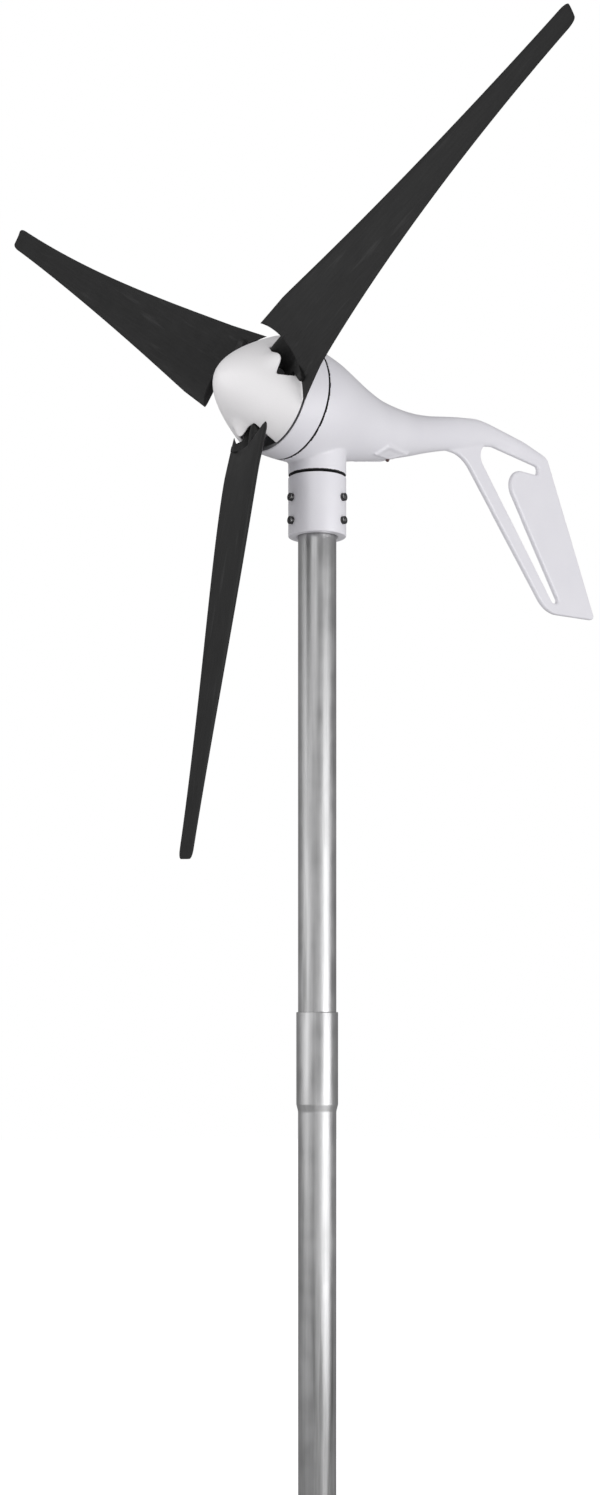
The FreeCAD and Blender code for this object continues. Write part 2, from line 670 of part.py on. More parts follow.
def stator_core():
    core = ring(STATOR_R, STATOR_BORE_R, STATOR_BACK, STATOR_FRONT)
    low, high = SLOT_DEPTH
    slot = box((low, -SLOT_WIDTH / 2, STATOR_BACK), (high, SLOT_WIDTH / 2, STATOR_FRONT))
    mouth = box((STATOR_BORE_R - 2.0, -SLOT_MOUTH / 2, STATOR_BACK), (low + 1.0, SLOT_MOUTH / 2, STATOR_FRONT))
    slots = polar(slot.fuse(mouth).removeSplitter(), SLOT_COUNT)
    return core.cut(Part.makeCompound(slots))


def stator_windings():
    low = SLOT_DEPTH[0] + WINDING_CLEARANCE
    high = SLOT_DEPTH[1] - WINDING_CLEARANCE
    half = SLOT_WIDTH / 2 - WINDING_CLEARANCE
    back = STATOR_BACK - WINDING_CLEARANCE
    front = STATOR_FRONT + WINDING_CLEARANCE
    bar = box((low, -half, back - 1.0), (END_TURN_R, half, front + 1.0)).fuse(
        box((low, -half, back), (high, half, front)))
    end_turns = [
        ring(END_TURN_R, low, back - END_TURN_LENGTH, back),
        ring(END_TURN_R, low, front, front + END_TURN_LENGTH),
    ]
    return fuse_all(end_turns + polar(bar, SLOT_COUNT))


def shaft_seal():
    seal_r, thickness = SHAFT_SEAL
    return ring(seal_r, FRONT_BEARING[0] + RUNNING_CLEARANCE, SHAFT_SEAL_BACK, SHAFT_SEAL_BACK + thickness)


def wave_washer():
    return ring(REAR_BEARING[1] - 0.3, REAR_BEARING[1] - 4.0, REAR_BEARING_BACK - WAVE_WASHER, REAR_BEARING_BACK)


def circuit_board():
    half_x, length, thick = BOARD_SIZE[0] / 2, BOARD_SIZE[1], BOARD_SIZE[2]
    low = AXIS_Z + BOARD_Z
    board = box((-half_x, BOARD_Y, low), (half_x, BOARD_Y + length, low + thick))
    holes = [cylinder(1.25 + BOLT_CLEARANCE, low, low + thick, x, y) for x, y in board_corners()]
    return cut_all(board, holes)


def board_screws():
    top = AXIS_Z + BOARD_Z + BOARD_SIZE[2]
    screw = socket_screw(1.25, BOARD_SIZE[2] + 7.0, 2.4, 1.8)
    return [moved(screw, x, y, top) for x, y in board_corners()]


def rectifier():
    top = AXIS_Z + BOARD_Z + BOARD_SIZE[2]
    half_x = RECTIFIER_SIZE[0] / 2
    near = BOARD_Y + 4.0
    block = box((-half_x, near, top), (half_x, near + RECTIFIER_SIZE[1], top + RECTIFIER_SIZE[2]))
    return block.cut(cylinder(2.2, top, top + RECTIFIER_SIZE[2], 0.0, near + RECTIFIER_SIZE[1] / 2))


def capacitors():
    top = AXIS_Z + BOARD_Z + BOARD_SIZE[2]
    y = BOARD_Y + BOARD_SIZE[1] - 18.0
    pitch = 2 * CAPACITOR_R + 1.0
    places = [(i - (CAPACITOR_COUNT - 1) / 2) * pitch for i in range(CAPACITOR_COUNT)]
    cans = [cylinder(CAPACITOR_R, top, top + CAPACITOR_HEIGHT, x, y) for x in places]
    return [can.makeFillet(0.8, can.Edges[:1]) for can in cans]


# ---- Brushes ----------------------------------------------------------------------------------------------

def brush_face():
    return SLIP_RING_R + BRUSH_GAP


def holder_back():
    return brush_face() + BRUSH_LENGTH + BRUSH_SPRING_LENGTH


def holder_screw_y():
    return brush_face() + HOLDER_FOOT_Y


def brush_levels():
    return [low + SLIP_RING_WIDTH / 2 for low in slip_ring_levels()]


def holder_pocket():
    """Flat seat that the brush holder's foot needs in the floor of the shell."""
    foot_x = HOLDER_FOOT[0] + 1.0
    high = BOSS_TOP + 12.0
    return cylinder(NECK_R - HOLDER_TRIM + 0.5, BOSS_TOP, high).common(
        box((-foot_x, SLIP_RING_R, BOSS_TOP), (foot_x, NECK_R, high)))


def brush_holder():
    front = brush_face() + 3.0
    foot_x, foot_length, foot = HOLDER_FOOT
    half_x = HOLDER_HALF_WIDTH
    low = BOSS_TOP + HOLDER_LIFT
    block = box((-half_x, front, low), (half_x, holder_back() + HOLDER_BACK, SLIP_HUB_TOP))
    pillar = box((-half_x, holder_screw_y() - foot_length / 2, BOSS_TOP),
                 (half_x, holder_screw_y() + foot_length / 2, low))
    foot_box = box((-foot_x, holder_screw_y() - foot_length / 2, BOSS_TOP),
                   (foot_x, holder_screw_y() + foot_length / 2, BOSS_TOP + foot))
    trim = cylinder(NECK_R - HOLDER_TRIM, BOSS_TOP, low)
    body = fuse_all([block, foot_box.common(trim), pillar.common(trim)])
    half = BRUSH_SIDE / 2 + BRUSH_SLOT_CLEARANCE
    for middle in brush_levels():
        body = body.cut(box((-half, front - 1.0, middle - half), (half, holder_back(), middle + half)))
    for x in (-HOLDER_SCREW_X, HOLDER_SCREW_X):
        body = body.cut(cylinder(1.25 + BOLT_CLEARANCE, BOSS_TOP, BOSS_TOP + foot, x, holder_screw_y()))
    return body


def holder_screws():
    screw = socket_screw(1.25, HOLDER_FOOT[2] + 7.0, 2.4, 1.8)
    return [moved(screw, x, holder_screw_y(), BOSS_TOP + HOLDER_FOOT[2]) for x in (-HOLDER_SCREW_X, HOLDER_SCREW_X)]


def brush(middle):
    half = BRUSH_SIDE / 2
    front = brush_face()
    return box((-half, front, middle - half), (half, front + BRUSH_LENGTH, middle + half))


def brush_spring(middle):
    length = BRUSH_SPRING_LENGTH - 2 * BRUSH_SPRING_WIRE_R
    helix = Part.makeHelix(length / BRUSH_SPRING_TURNS, length, BRUSH_SPRING_R)
    circle = Part.Circle(vec(BRUSH_SPRING_R, 0, 0), vec(0, 1, 0), BRUSH_SPRING_WIRE_R).toShape()
    coil = Part.Wire(helix.Edges).makePipeShell([Part.Wire([circle])], True, True)
    coil.rotate(vec(0, 0, 0), vec(1, 0, 0), -90)
    coil.translate(vec(0, brush_face() + BRUSH_LENGTH + BRUSH_SPRING_WIRE_R, middle))
    return coil


def build_nacelle():
    save("body_casting", body_casting())
    save("face_casting", on_shaft(face_casting()))
    save("face_gasket", on_shaft(face_gasket()))
    save("face_screws", on_shaft(face_screws()))
    save("bearing_carrier", on_shaft(bearing_carrier()))
    save("carrier_screws", on_shaft(carrier_screws()))
    save("stator_core", on_shaft(stator_core()))
    save("stator_windings", on_shaft(stator_windings()))
    save("shaft_seal", on_shaft(shaft_seal()))
    save("wave_washer", on_shaft(wave_washer()))
    save("circuit_board", circuit_board())
    save("board_screws", board_screws())
    save("rectifier", rectifier())
    save("capacitors", capacitors())
    save("brush_holder", brush_holder())
    save("holder_screws", holder_screws())
    save("status_light", status_light())
    for number, middle in enumerate(brush_levels(), 1):
        save("brush_%d" % number, brush(middle))
        save("brush_spring_%d" % number, brush_spring(middle))


# ---- Rotor ------------------------------------------------------------------------------------------------

def rotor_shaft():
    rear_front = REAR_BEARING_BACK + REAR_BEARING[2]
    thread_end = HUB_FRONT + HUB_WASHER[1] + HUB_NUT[1] + 2.0
    return fuse_all([
        cylinder(REAR_BEARING[0], SHAFT_BACK, rear_front),
        cylinder(SHAFT_MIDDLE_R, rear_front, FRONT_BEARING_BACK),
        cylinder(FRONT_BEARING[0], FRONT_BEARING_BACK, HUB_BACK),
        cylinder(HUB_THREAD_R, HUB_BACK, thread_end),
    ])


def magnet_carrier():
    back, front = MAGNET_CARRIER
    return ring(MAGNET_R - MAGNET_THICKNESS - GLUE_LINE, SHAFT_MIDDLE_R, back, front)


def magnets():
    back, front = MAGNET_CARRIER
    sweep = 360.0 / MAGNET_COUNT - MAGNET_GAP_ANGLE
    inner = MAGNET_R - MAGNET_THICKNESS
    outer_wedge = Part.makeCylinder(MAGNET_R, front - back, vec(0, 0, back), UP, sweep)
    magnet = outer_wedge.cut(cylinder(inner, back, front))
    return polar(magnet, MAGNET_COUNT)


def blade_bolt_places():
    places = []
    for azimuth in BLADE_AZIMUTHS:
        a = math.radians(azimuth)
        for radius in BLADE_BOLT_RADII:
            x = radius * math.cos(a) - BLADE_BOLT_OFFSET * math.sin(a)
            y = radius * math.sin(a) + BLADE_BOLT_OFFSET * math.cos(a)
            places.append((x, y))
    return places


def hub_plate():
    plate_body = ring(HUB_R, HUB_THREAD_R, HUB_BACK, HUB_FRONT)
    hole_r = BLADE_BOLT_R + BOLT_CLEARANCE
    return cut_all(plate_body, [cylinder(hole_r, HUB_BACK, HUB_FRONT, x, y) for x, y in blade_bolt_places()])


def hub_washer():
    return ring(HUB_WASHER[0], HUB_THREAD_R, HUB_FRONT, HUB_FRONT + HUB_WASHER[1])


def hub_nut():
    low = HUB_FRONT + HUB_WASHER[1]
    return hexagon(HUB_NUT[0], low, low + HUB_NUT[1]).cut(cylinder(HUB_THREAD_R, low, low + HUB_NUT[1]))


def blade_bolts():
    head_r, head = BLADE_BOLT_HEAD
    length = BLADE_BLOCK[4] + HUB_THICKNESS + BLADE_WASHER[1] + BLADE_NUT[1] + 1.0
    screw = socket_screw(BLADE_BOLT_R, length, head_r, head)
    return [moved(screw, x, y, HUB_FRONT + BLADE_BLOCK[4]) for x, y in blade_bolt_places()]


def blade_washers():
    washer = ring(BLADE_WASHER[0], BLADE_BOLT_R, HUB_BACK - BLADE_WASHER[1], HUB_BACK)
    return [moved(washer, x, y, 0) for x, y in blade_bolt_places()]


def blade_nuts():
    high = HUB_BACK - BLADE_WASHER[1]
    nut = hexagon(BLADE_NUT[0], high - BLADE_NUT[1], high).cut(cylinder(BLADE_BOLT_R, high - BLADE_NUT[1], high))
    return [moved(nut, x, y, 0) for x, y in blade_bolt_places()]


def blade_station(r):
    """Chord, twist, mid-chord offset, mid-chord station and thickness of the blade at radius r."""
    share = (BLADE_TIP_R - r) / (BLADE_TIP_R - BLADE_ROOT_R)
    chord = BLADE_TIP_CHORD + BLADE_CHORD_GAIN * share ** 1.68
    twist = math.radians(BLADE_TIP_TWIST + BLADE_TWIST_GAIN * share ** 2.3)
    inside = min(0.0, r - BLADE_ROOT_R)
    outside = max(0.0, 1.0 - share)
    offset = BLADE_BOW * math.sin(math.pi * max(0.0, r - BLADE_ROOT_R) / 600.0) + 0.06 * inside
    station = BLADE_ROOT_STATION + BLADE_RAKE * outside ** 0.82 + 0.18 * inside
    thickness = BLADE_TIP_THICKNESS + BLADE_THICKNESS_GAIN * share ** 1.5
    return chord, twist, offset, station, thickness


def blade_section(r):
    """Closed airfoil wire in the plane x = r: leading edge towards +Y and forward, belly to the front."""
    chord, twist, offset, station, thickness = blade_station(r)
    shares = (0.0, 0.025, 0.1, 0.25, 0.45, 0.7, 1.0)
    front = []
    back = []
    for share in shares:
        root = math.sqrt(share)
        form = 0.2969 * root - 0.126 * share - 0.3516 * share ** 2 + 0.2843 * share ** 3 - 0.1015 * share ** 4
        half = 5.0 * thickness * form + 0.35 * share
        bow = 4.0 * BLADE_CAMBER * chord * share * (1.0 - share)
        front.append((chord * (0.5 - share), half - bow))
        back.append((chord * (0.5 - share), -half - bow))
    c, s = math.cos(twist), math.sin(twist)

    def place(point):
        along, across = point
        return vec(r, offset + along * c - across * s, station + along * s + across * c)

    nose = [place(p) for p in reversed(front)] + [place(p) for p in back[1:]]
    skin = Part.BSplineCurve()
    skin.interpolate(Points=nose)
    tail = Part.LineSegment(nose[-1], nose[0])
    return Part.Wire([skin.toShape(), tail.toShape()])


def blade():
    """One blade with its span along +X of the shaft frame."""
    spans = list(BLADE_SPANS) + [BLADE_TIP_R]
    skin = Part.makeLoft([blade_section(r) for r in spans], True, False)
    low_t, high_t = BLADE_NECK
    hollow = cylinder(BLADE_INNER_R, FACE_WALL_BACK, NOSE_TIP)
    neck_keep = box((0, low_t, FACE_WALL_BACK), (BLADE_INNER_R + 1.0, high_t, NOSE_TIP))
    skin = skin.cut(hollow.cut(neck_keep))
    near, far, left, right, height = BLADE_BLOCK
    block = box((near, left, HUB_FRONT), (far, right, HUB_FRONT + height))
    block = block.makeFillet(3.0, [e for e in block.Edges if abs(e.BoundBox.ZLength - height) < 0.01])
    body = skin.fuse(block).removeSplitter()
    body = body.cut(cylinder(HUB_R + 1.0, FACE_WALL_BACK, HUB_FRONT))
    hole_r = BLADE_BOLT_R + BOLT_CLEARANCE
    head_r = BLADE_BOLT_HEAD[0] + 1.0
    for radius in BLADE_BOLT_RADII:
        body = body.cut(cylinder(hole_r, HUB_FRONT, NOSE_TIP, radius, BLADE_BOLT_OFFSET))
        body = body.cut(cylinder(head_r, HUB_FRONT + height, NOSE_TIP, radius, BLADE_BOLT_OFFSET))
    return body


def nose_profile(inset):
    """Solid of the nose cone's outer form, or its inner form when inset by the wall."""
    points = [vec(NOSE_BASE_R - inset, 0, NOSE_BACK)]
    points += [vec(r - inset, 0, NOSE_BACK + z - 0.4 * inset) for z, r in NOSE_PROFILE]
    points.append(vec(0, 0, NOSE_TIP - inset))
    curve = Part.BSplineCurve()
    curve.interpolate(Points=points)
    axis_line = Part.LineSegment(points[-1], vec(0, 0, NOSE_BACK))
    base_line = Part.LineSegment(vec(0, 0, NOSE_BACK), points[0])
    wire = Part.Wire([curve.toShape(), axis_line.toShape(), base_line.toShape()])
    return Part.Face(wire).revolve(vec(0, 0, 0), UP, 360)


def ear():
    """Pointed lobe of the nose cone that shields one blade's root, along +X."""
    axis = vec(EAR_TIP[0] - EAR_BASE[0], 0, EAR_TIP[1] - EAR_BASE[1]).normalize()
    wires = []
    for radius, station, half_width, half_height in (EAR_BASE, EAR_MIDDLE, EAR_TIP):
        centre = vec(radius, 0, NOSE_BACK + station)
        side = vec(0, half_width, 0)
        lift = axis.cross(vec(0, 1, 0)).normalize() * half_height
        wires.append(Part.Wire([Part.Ellipse(centre + side, centre + lift, centre).toShape()]))
    return Part.makeLoft(wires, True, False)


def notch():
    """Opening of the nose cone for one blade's root, about +X."""
    start, end = NOTCH_ANGLES
    wedge = Part.makeCylinder(NOSE_BASE_R + 20.0, NOTCH_LENGTH + 2.0, vec(0, 0, NOSE_BACK - 2.0), UP, end - start)
    return turned(wedge, start)


def clip():
    """Snap leg inside the nose cone along +X: it seats on the hub plate and hooks behind its edge."""
    half = CLIP_WIDTH / 2
    edge = HUB_R + CLIP_CLEARANCE
    leg = box((edge, -half, NOSE_BACK + 0.4), (NOSE_BASE_R, half, HUB_FRONT + 10.0))
    seat = box((edge - 6.0, -half, HUB_FRONT), (edge + 1.0, half, HUB_FRONT + 4.0))
    hook = box((edge - 2.0, -half, NOSE_BACK + 0.4), (edge + 1.0, half, HUB_BACK - CLIP_CLEARANCE))
    return fuse_all([leg, seat, hook])


def nose_cone():
    outer = nose_profile(0.0)
    inner = nose_profile(NOSE_WALL)
    shell = outer.cut(inner)
    ears = []
    for azimuth in BLADE_AZIMUTHS:
        shell = shell.cut(turned(notch(), azimuth))
        ears.append(turned(ear(), azimuth + EAR_AZIMUTH).cut(inner))
    clips = [turned(clip(), azimuth + CLIP_AZIMUTH).common(outer) for azimuth in BLADE_AZIMUTHS]
    return fuse_all([shell] + ears + clips)


def build_rotor():
    save("rotor_shaft", on_shaft(rotor_shaft()))
    save("magnet_carrier", on_shaft(magnet_carrier()))
    save("magnets", on_shaft(magnets()))
    for name, size, low in (("rear", REAR_BEARING, REAR_BEARING_BACK), ("front", FRONT_BEARING, FRONT_BEARING_BACK)):
        outer_race, inner_race, balls = ball_bearing(size, low)
        save(name + "_outer_race", on_shaft(outer_race))
        save(name + "_inner_race", on_shaft(inner_race))
        save(name + "_balls", on_shaft(balls))
    save("hub_plate", on_shaft(hub_plate()))
    save("hub_washer", on_shaft(hub_washer()))
    save("hub_nut", on_shaft(hub_nut()))
    save("blade_bolts", on_shaft(blade_bolts()))
    save("blade_washers", on_shaft(blade_washers()))
    save("blade_nuts", on_shaft(blade_nuts()))
    one_blade = blade()
    for number, azimuth in enumerate(BLADE_AZIMUTHS, 1):
        save("blade_%d" % number, on_shaft(turned(one_blade, azimuth)))
    save("nose_cone", on_shaft(nose_cone()))


os.makedirs("parts", exist_ok=True)
build_mast()
build_nacelle()
build_rotor()
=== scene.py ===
"""Looks of the micro wind turbine. Sizes are in millimetres unless a comment says otherwise.

The row frame is the CAD model's. The shaft frame has Z forward along the rotor shaft from the yaw axis,
Y up and X as the row's X. A blade's own frame is the shaft frame turned so that its span lies along +X.
"""
import json
import math

import bmesh
import bpy
import numpy as np
from mathutils import Matrix, Vector


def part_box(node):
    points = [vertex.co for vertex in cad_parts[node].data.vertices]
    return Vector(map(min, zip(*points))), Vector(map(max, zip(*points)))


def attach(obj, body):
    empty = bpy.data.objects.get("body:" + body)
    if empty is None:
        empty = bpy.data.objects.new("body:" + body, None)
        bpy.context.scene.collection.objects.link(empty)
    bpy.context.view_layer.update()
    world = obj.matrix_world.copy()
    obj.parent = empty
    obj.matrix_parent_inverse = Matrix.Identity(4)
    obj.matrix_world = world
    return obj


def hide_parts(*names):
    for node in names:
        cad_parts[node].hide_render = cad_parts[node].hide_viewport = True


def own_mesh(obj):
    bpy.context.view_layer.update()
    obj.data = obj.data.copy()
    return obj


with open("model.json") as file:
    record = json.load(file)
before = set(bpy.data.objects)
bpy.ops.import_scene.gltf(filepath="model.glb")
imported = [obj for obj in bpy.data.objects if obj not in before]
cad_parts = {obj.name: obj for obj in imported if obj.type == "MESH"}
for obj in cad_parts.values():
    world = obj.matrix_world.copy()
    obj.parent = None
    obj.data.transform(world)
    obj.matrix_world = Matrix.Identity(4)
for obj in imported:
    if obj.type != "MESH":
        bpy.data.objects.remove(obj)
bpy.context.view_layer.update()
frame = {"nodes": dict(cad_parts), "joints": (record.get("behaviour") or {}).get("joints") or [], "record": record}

MM = 0.001
WELD_METRES = 1e-6

# Camera: its place in metres, its azimuth in degrees, its lens and sensor in millimetres
CAMERA_PLACE = (1.92966, -1.77216, 0.67718)
CAMERA_AZIMUTH = 47.91
CAMERA_LENS = 50.09
CAMERA_SHIFT = 0.1806
CAMERA_SENSOR = 36.0

# Stage
FLOOR_R = 9000.0
FLOOR_THICKNESS = 20.0
ROOM_STRENGTH = 0.45
REFLECTED_STRENGTH = 0.36

# Rotor, in the shaft frame
BLADE_AZIMUTHS = (27.07, 147.07, 267.07)
BLADE_ROOT_R = 100.0
BLADE_TIP_R = 586.0
BLADE_INNER_R = 73.6
THIRD = 120.0
# Laws of the blade's size along its span: (value at the start, growth, power)
BLADE_CHORD = (27.6, 72.7, 1.68)
BLADE_TWIST_DEGREES = (2.5, 13.8, 2.3)
BLADE_THICKNESS = (3.0, 9.0, 1.5)
BLADE_STATION = (112.4, 30.8, 0.82)
BLADE_SWEEP = 4.3
BLADE_SWEEP_LENGTH = 600.0
# Shift of the chord's middle, in the disc and along the shaft, for each millimetre inside the root
ROOT_LEAN = 0.06
ROOT_RAKE = 0.18
BLADE_BOW = 0.14
TRAILING_EDGE = 0.35
ROOT_END_R = 116.0
ROOT_EDGE = 1.6
TIP_ROUND = 15.0
TIP_NARROW = 0.62

# Blade neck, in the blade's own frame: its two sides, its radii, and how it sinks under the blade's skin
BLADE_NECK = (-20.9, 17.4)
NECK_START_R = 44.0
NECK_END_R = 88.0
NECK_SINK = 0.5
NECK_SINK_R = 68.0
NECK_SINK_LENGTH = 5.0
NECK_BACK_INSET = 0.5
NECK_EDGE = 1.4
NECK_EDGE_SHARE = 1.0 / 16.0
# Extra reach of the neck's trailing side, and the radii between which it stands out
NECK_FLARE = 20.0
NECK_FLARE_R = (60.0, 74.5)
RIB_HEIGHT = 3.4
RIB_FADE = 26.0
RIB_PLACE = 13.6
RIB_WIDTH = 3.4
HOLLOW_DEPTH = 8.0
HOLLOW_FADE = 22.0
HOLLOW_PLACE = -5.0
HOLLOW_WIDTH = 9.5
HOLLOW_END_R = 74.0

# Nose cone, in the shaft frame
NOSE_BACK = 81.4
NOSE_ORIGIN = NOSE_BACK - 0.8
NOSE_LENGTH = 82.4
NOSE_BASE_R = 71.8
NOSE_POWER = 1.8
NOSE_FULLNESS = 1.003
NOSE_WALL = 2.5
NOSE_VOXEL = 0.7
NOSE_SMOOTHING = 26
NOSE_SOFT_LENGTH = 14.0
NOSE_BACK_SOFTNESS = 0.3
NOTCH_FRONT = 115.5
NOTCH_COLUMNS = (-16, 14)
COLUMN_ANGLE = 1.5
LOBE_AZIMUTH = -5.4
LOBE_HALF_ANGLE = 19.0
LOBE_LENGTH = 17.0
LOBE_REACH = 9.5

# Body casting: (y, top, bottom, half width), heights from the shaft axis
FACE_JOINT = 45.7
JOINT_RELIEF = 1.6
NACELLE_R = 71.8
BODY_SECTIONS = (
    (-18.0, 70.4, -67.8, 69.5),
    (5.0, 64.3, -63.8, 64.0),
    (32.0, 54.3, -57.2, 55.5),
    (60.0, 43.9, -51.0, 47.0),
    (90.0, 34.9, -45.2, 39.5),
    (125.0, 30.2, -37.2, 32.5),
    (160.0, 29.2, -27.4, 25.5),
    (195.0, 32.2, -16.4, 19.0),
    (230.0, 38.2, -7.0, 14.5),
    (265.0, 43.6, 0.5, 11.5),
    (300.0, 46.0, 11.0, 9.3),
    (340.0, 40.8, 16.0, 7.6),
    (385.0, 32.6, 12.5, 6.0),
    (422.0, 23.4, 8.0, 4.9),
)
FIN_THICKNESS = 8.0
FIN_EDGE_RADIUS = 2.4
# Corners of the fin and of its slot: (y, height from the shaft axis, corner radius)
FIN_OUTLINE = (
    (228.0, -6.0, 0.0),
    (264.5, -7.0, 50.0),
    (433.5, -197.5, 50.0),
    (537.0, -194.4, 5.0),
    (434.0, 19.5, 16.0),
    (385.0, 33.2, 150.0),
    (292.0, 47.6, 100.0),
    (228.0, 37.0, 0.0),
)
FIN_SLOT = (
    (274.8, 21.0, 17.0),
    (416.5, 3.6, 4.0),
    (414.5, -8.0, 4.0),
    (338.0, -7.5, 22.0),
    (460.5, -180.5, 4.0),
    (445.5, -182.0, 5.0),
)
BODY_SIDES = 120
BODY_VOXEL = 1.25
BODY_SMOOTHING = 14
NECK_R = 36.5
NECK_HEIGHT = 40.0
NECK_GAP = 1.6
# Corners of the belly's boss as (y, height above the body's lowest line), and the shares of its dished top
BOSS_CORNERS = ((80.0, 5.0), (97.0, 14.0), (152.0, 3.0), (118.0, 0.8))
BOSS_PROUD = 3.2
BOSS_ROOT = 3.0
BOSS_RIM = 0.72
BOSS_DISH = 0.6
BOSS_DISH_DEPTH = 2.0

# Brush springs
SPRING_WIRE_R = 0.35
SPRING_TURNS = 6
SPRING_STEPS = 24
SPRING_SIDES = 10

# Mast and collar
TUBE_WALL = 3.68
SOCKET_CLEARANCE = 0.15
SOCKET_DEPTH = 116.0
SWAGE_LENGTH = 9.0
COLLAR_WEB = 62.0
COLLAR_GRIP_R = 24.38
COLLAR_CHAMFER = 2.2
YAW_SHAFT_R = 12.5
COLLAR_SCREW_R = 4.9
COLLAR_SCREW_PROUD = 4.8
COLLAR_SCREW_ROWS = (17.0, 46.0)
COLLAR_SCREW_AZIMUTH = 17.9
SCREW_SIDES = 48
HEX_SOCKET_LIP = 0.35
HEX_SOCKET_DEPTH = 3.0
HEX_SOCKET_R = 2.15

SPIN = next(j for j in frame["joints"] if j["name"] == "rotor_spin")
AXIS_Z = SPIN["pos_m"][2] / MM
FORWARD = Vector(SPIN["axis"]).normalized()
SIDE = Vector((1, 0, 0))
SHAFT = Matrix((SIDE, FORWARD.cross(SIDE), FORWARD)).transposed().to_4x4()
SHAFT.translation = Vector(SPIN["pos_m"])
SLOTS = {part["node"]: part["material_slot"] for part in frame["record"]["subparts"]}


# ---- Mesh helpers -----------------------------------------------------------------------------------------

def clamped(share):
    """The share, kept between 0 and 1."""
    return min(1.0, max(0.0, share))


def fade(share):
    """Smooth step from 0 to 1."""
    share = clamped(share)
    return share * share * (3.0 - 2.0 * share)


def mound(place, middle, width):
    """Bell curve about the middle, 1 high."""
    return math.exp(-((place - middle) / width) ** 2)


def new_object(name, data):
    piece = bpy.data.objects.new(name, data)
    bpy.context.scene.collection.objects.link(piece)
    return piece


def welded(mesh, outward):
    """Joins the mesh's coinciding points and, where outward is true, turns its faces outward."""
    work = bmesh.new()
    work.from_mesh(mesh)
    bmesh.ops.remove_doubles(work, verts=work.verts, dist=WELD_METRES)
    if outward:
        bmesh.ops.recalc_face_normals(work, faces=work.faces)
    work.to_mesh(mesh)
    work.free()
    return mesh


def mesh_from(name, points, faces):
    """Mesh from points in millimetres."""
    mesh = bpy.data.meshes.new(name)
    mesh.from_pydata([tuple(c * MM for c in p) for p in points], [], faces)
    return welded(mesh, True)


def loft(name, rings, capped=True, looped=False):
    """Closed mesh through rings of as many points each. A looped loft joins its last ring to its first."""
    count = len(rings[0])
    points = [p for ring in rings for p in ring]
    faces = []
    spans = len(rings) if looped else len(rings) - 1
    for i in range(spans):
        near = i * count
        far = (i + 1) % len(rings) * count
        for j in range(count):
            k = (j + 1) % count
            faces.append((near + j, near + k, far + k, far + j))
    if capped and not looped:
        faces.append(tuple(range(count)))
        faces.append(tuple(range(len(points) - count, len(points))))
    return mesh_from(name, points, faces)


def circle(radius, height, count):
    angles = [2 * math.pi * i / count for i in range(count)]
    return [(radius * math.cos(a), radius * math.sin(a), height) for a in angles]


def lathe(name, profile, count=160):
    """Closed ring of revolution about Z of a closed (radius, height) profile."""
    return loft(name, [circle(r, z, count) for r, z in profile], looped=True)


def rounded(profile, radii, steps=5):
    """The profile with each corner rounded by its radius."""
    points = []
    for i, (here, radius) in enumerate(zip(profile, radii)):
        corner = Vector(here)
        before = (Vector(profile[i - 1]) - corner).normalized()
        after = (Vector(profile[(i + 1) % len(profile)]) - corner).normalized()
        if radius == 0:
            points.append(tuple(corner))
            continue
        half = before.angle(after) / 2
        centre = corner + (before + after).normalized() * radius / math.sin(half)
        start = corner + before * radius / math.tan(half) - centre
        end = corner + after * radius / math.tan(half) - centre
        sweep = start.angle(end)
        for step in range(steps + 1):
            share = step / steps
            near = math.sin((1 - share) * sweep) / math.sin(sweep)
            far = math.sin(share * sweep) / math.sin(sweep)
            points.append(tuple(centre + start * near + end * far))
    return points


def smooth_rings(rings, stations, fine):
    """Rings at the fine stations, on a cubic through the given ones."""
    rings = np.array(rings, float)
    slopes = np.gradient(rings, np.array(stations, float), axis=0)
    result = []
    for t in fine:
        i = int(min(np.searchsorted(stations, t, side="right") - 1, len(stations) - 2))
        step = stations[i + 1] - stations[i]
        u = (t - stations[i]) / step
        near = (2 * u ** 3 - 3 * u ** 2 + 1) * rings[i] + (u ** 3 - 2 * u ** 2 + u) * step * slopes[i]
        far = (3 * u ** 2 - 2 * u ** 3) * rings[i + 1] + (u ** 3 - u ** 2) * step * slopes[i + 1]
        result.append([tuple(p) for p in near + far])
    return result


def joined(name, meshes):
    work = bmesh.new()
    for mesh in meshes:
        work.from_mesh(mesh)
    whole = bpy.data.meshes.new(name)
    work.to_mesh(whole)
    work.free()
    return whole


def applied(piece):
    """Replaces the piece's mesh by what its modifiers make of it."""
    graph = bpy.context.evaluated_depsgraph_get()
    made = bpy.data.meshes.new_from_object(piece.evaluated_get(graph))
    piece.modifiers.clear()
    piece.data = made


def cast_as_one(piece, voxel, rounds, softness):
    """Joins a piece's overlapping solids into one skin and rounds it, by each point's softness, as cast."""
    remesh = piece.modifiers.new("skin", "REMESH")
    remesh.mode = "VOXEL"
    remesh.voxel_size = voxel * MM
    applied(piece)
    soften = piece.modifiers.new("soften", "SMOOTH")
    soften.factor = 0.5
    soften.iterations = rounds
    group = piece.vertex_groups.new(name="soft")
    for vertex in piece.data.vertices:
        group.add([vertex.index], softness(vertex.co / MM), "REPLACE")
    soften.vertex_group = "soft"
    applied(piece)


def settled(piece, place):
    """Moves a mesh made in its own frame to the row frame, and keeps its own coordinates for its material."""
    mesh = piece.data
    own = mesh.attributes.new("own_place", "FLOAT_VECTOR", "POINT")
    for vertex, value in zip(mesh.vertices, own.data):
        value.vector = vertex.co
    mesh.transform(place)


def smooth_shaded(piece, angle=None):
    for polygon in piece.data.polygons:
        polygon.use_smooth = True
    if angle is not None:
        piece.data.set_sharp_from_angle(angle=math.radians(angle))
    return piece


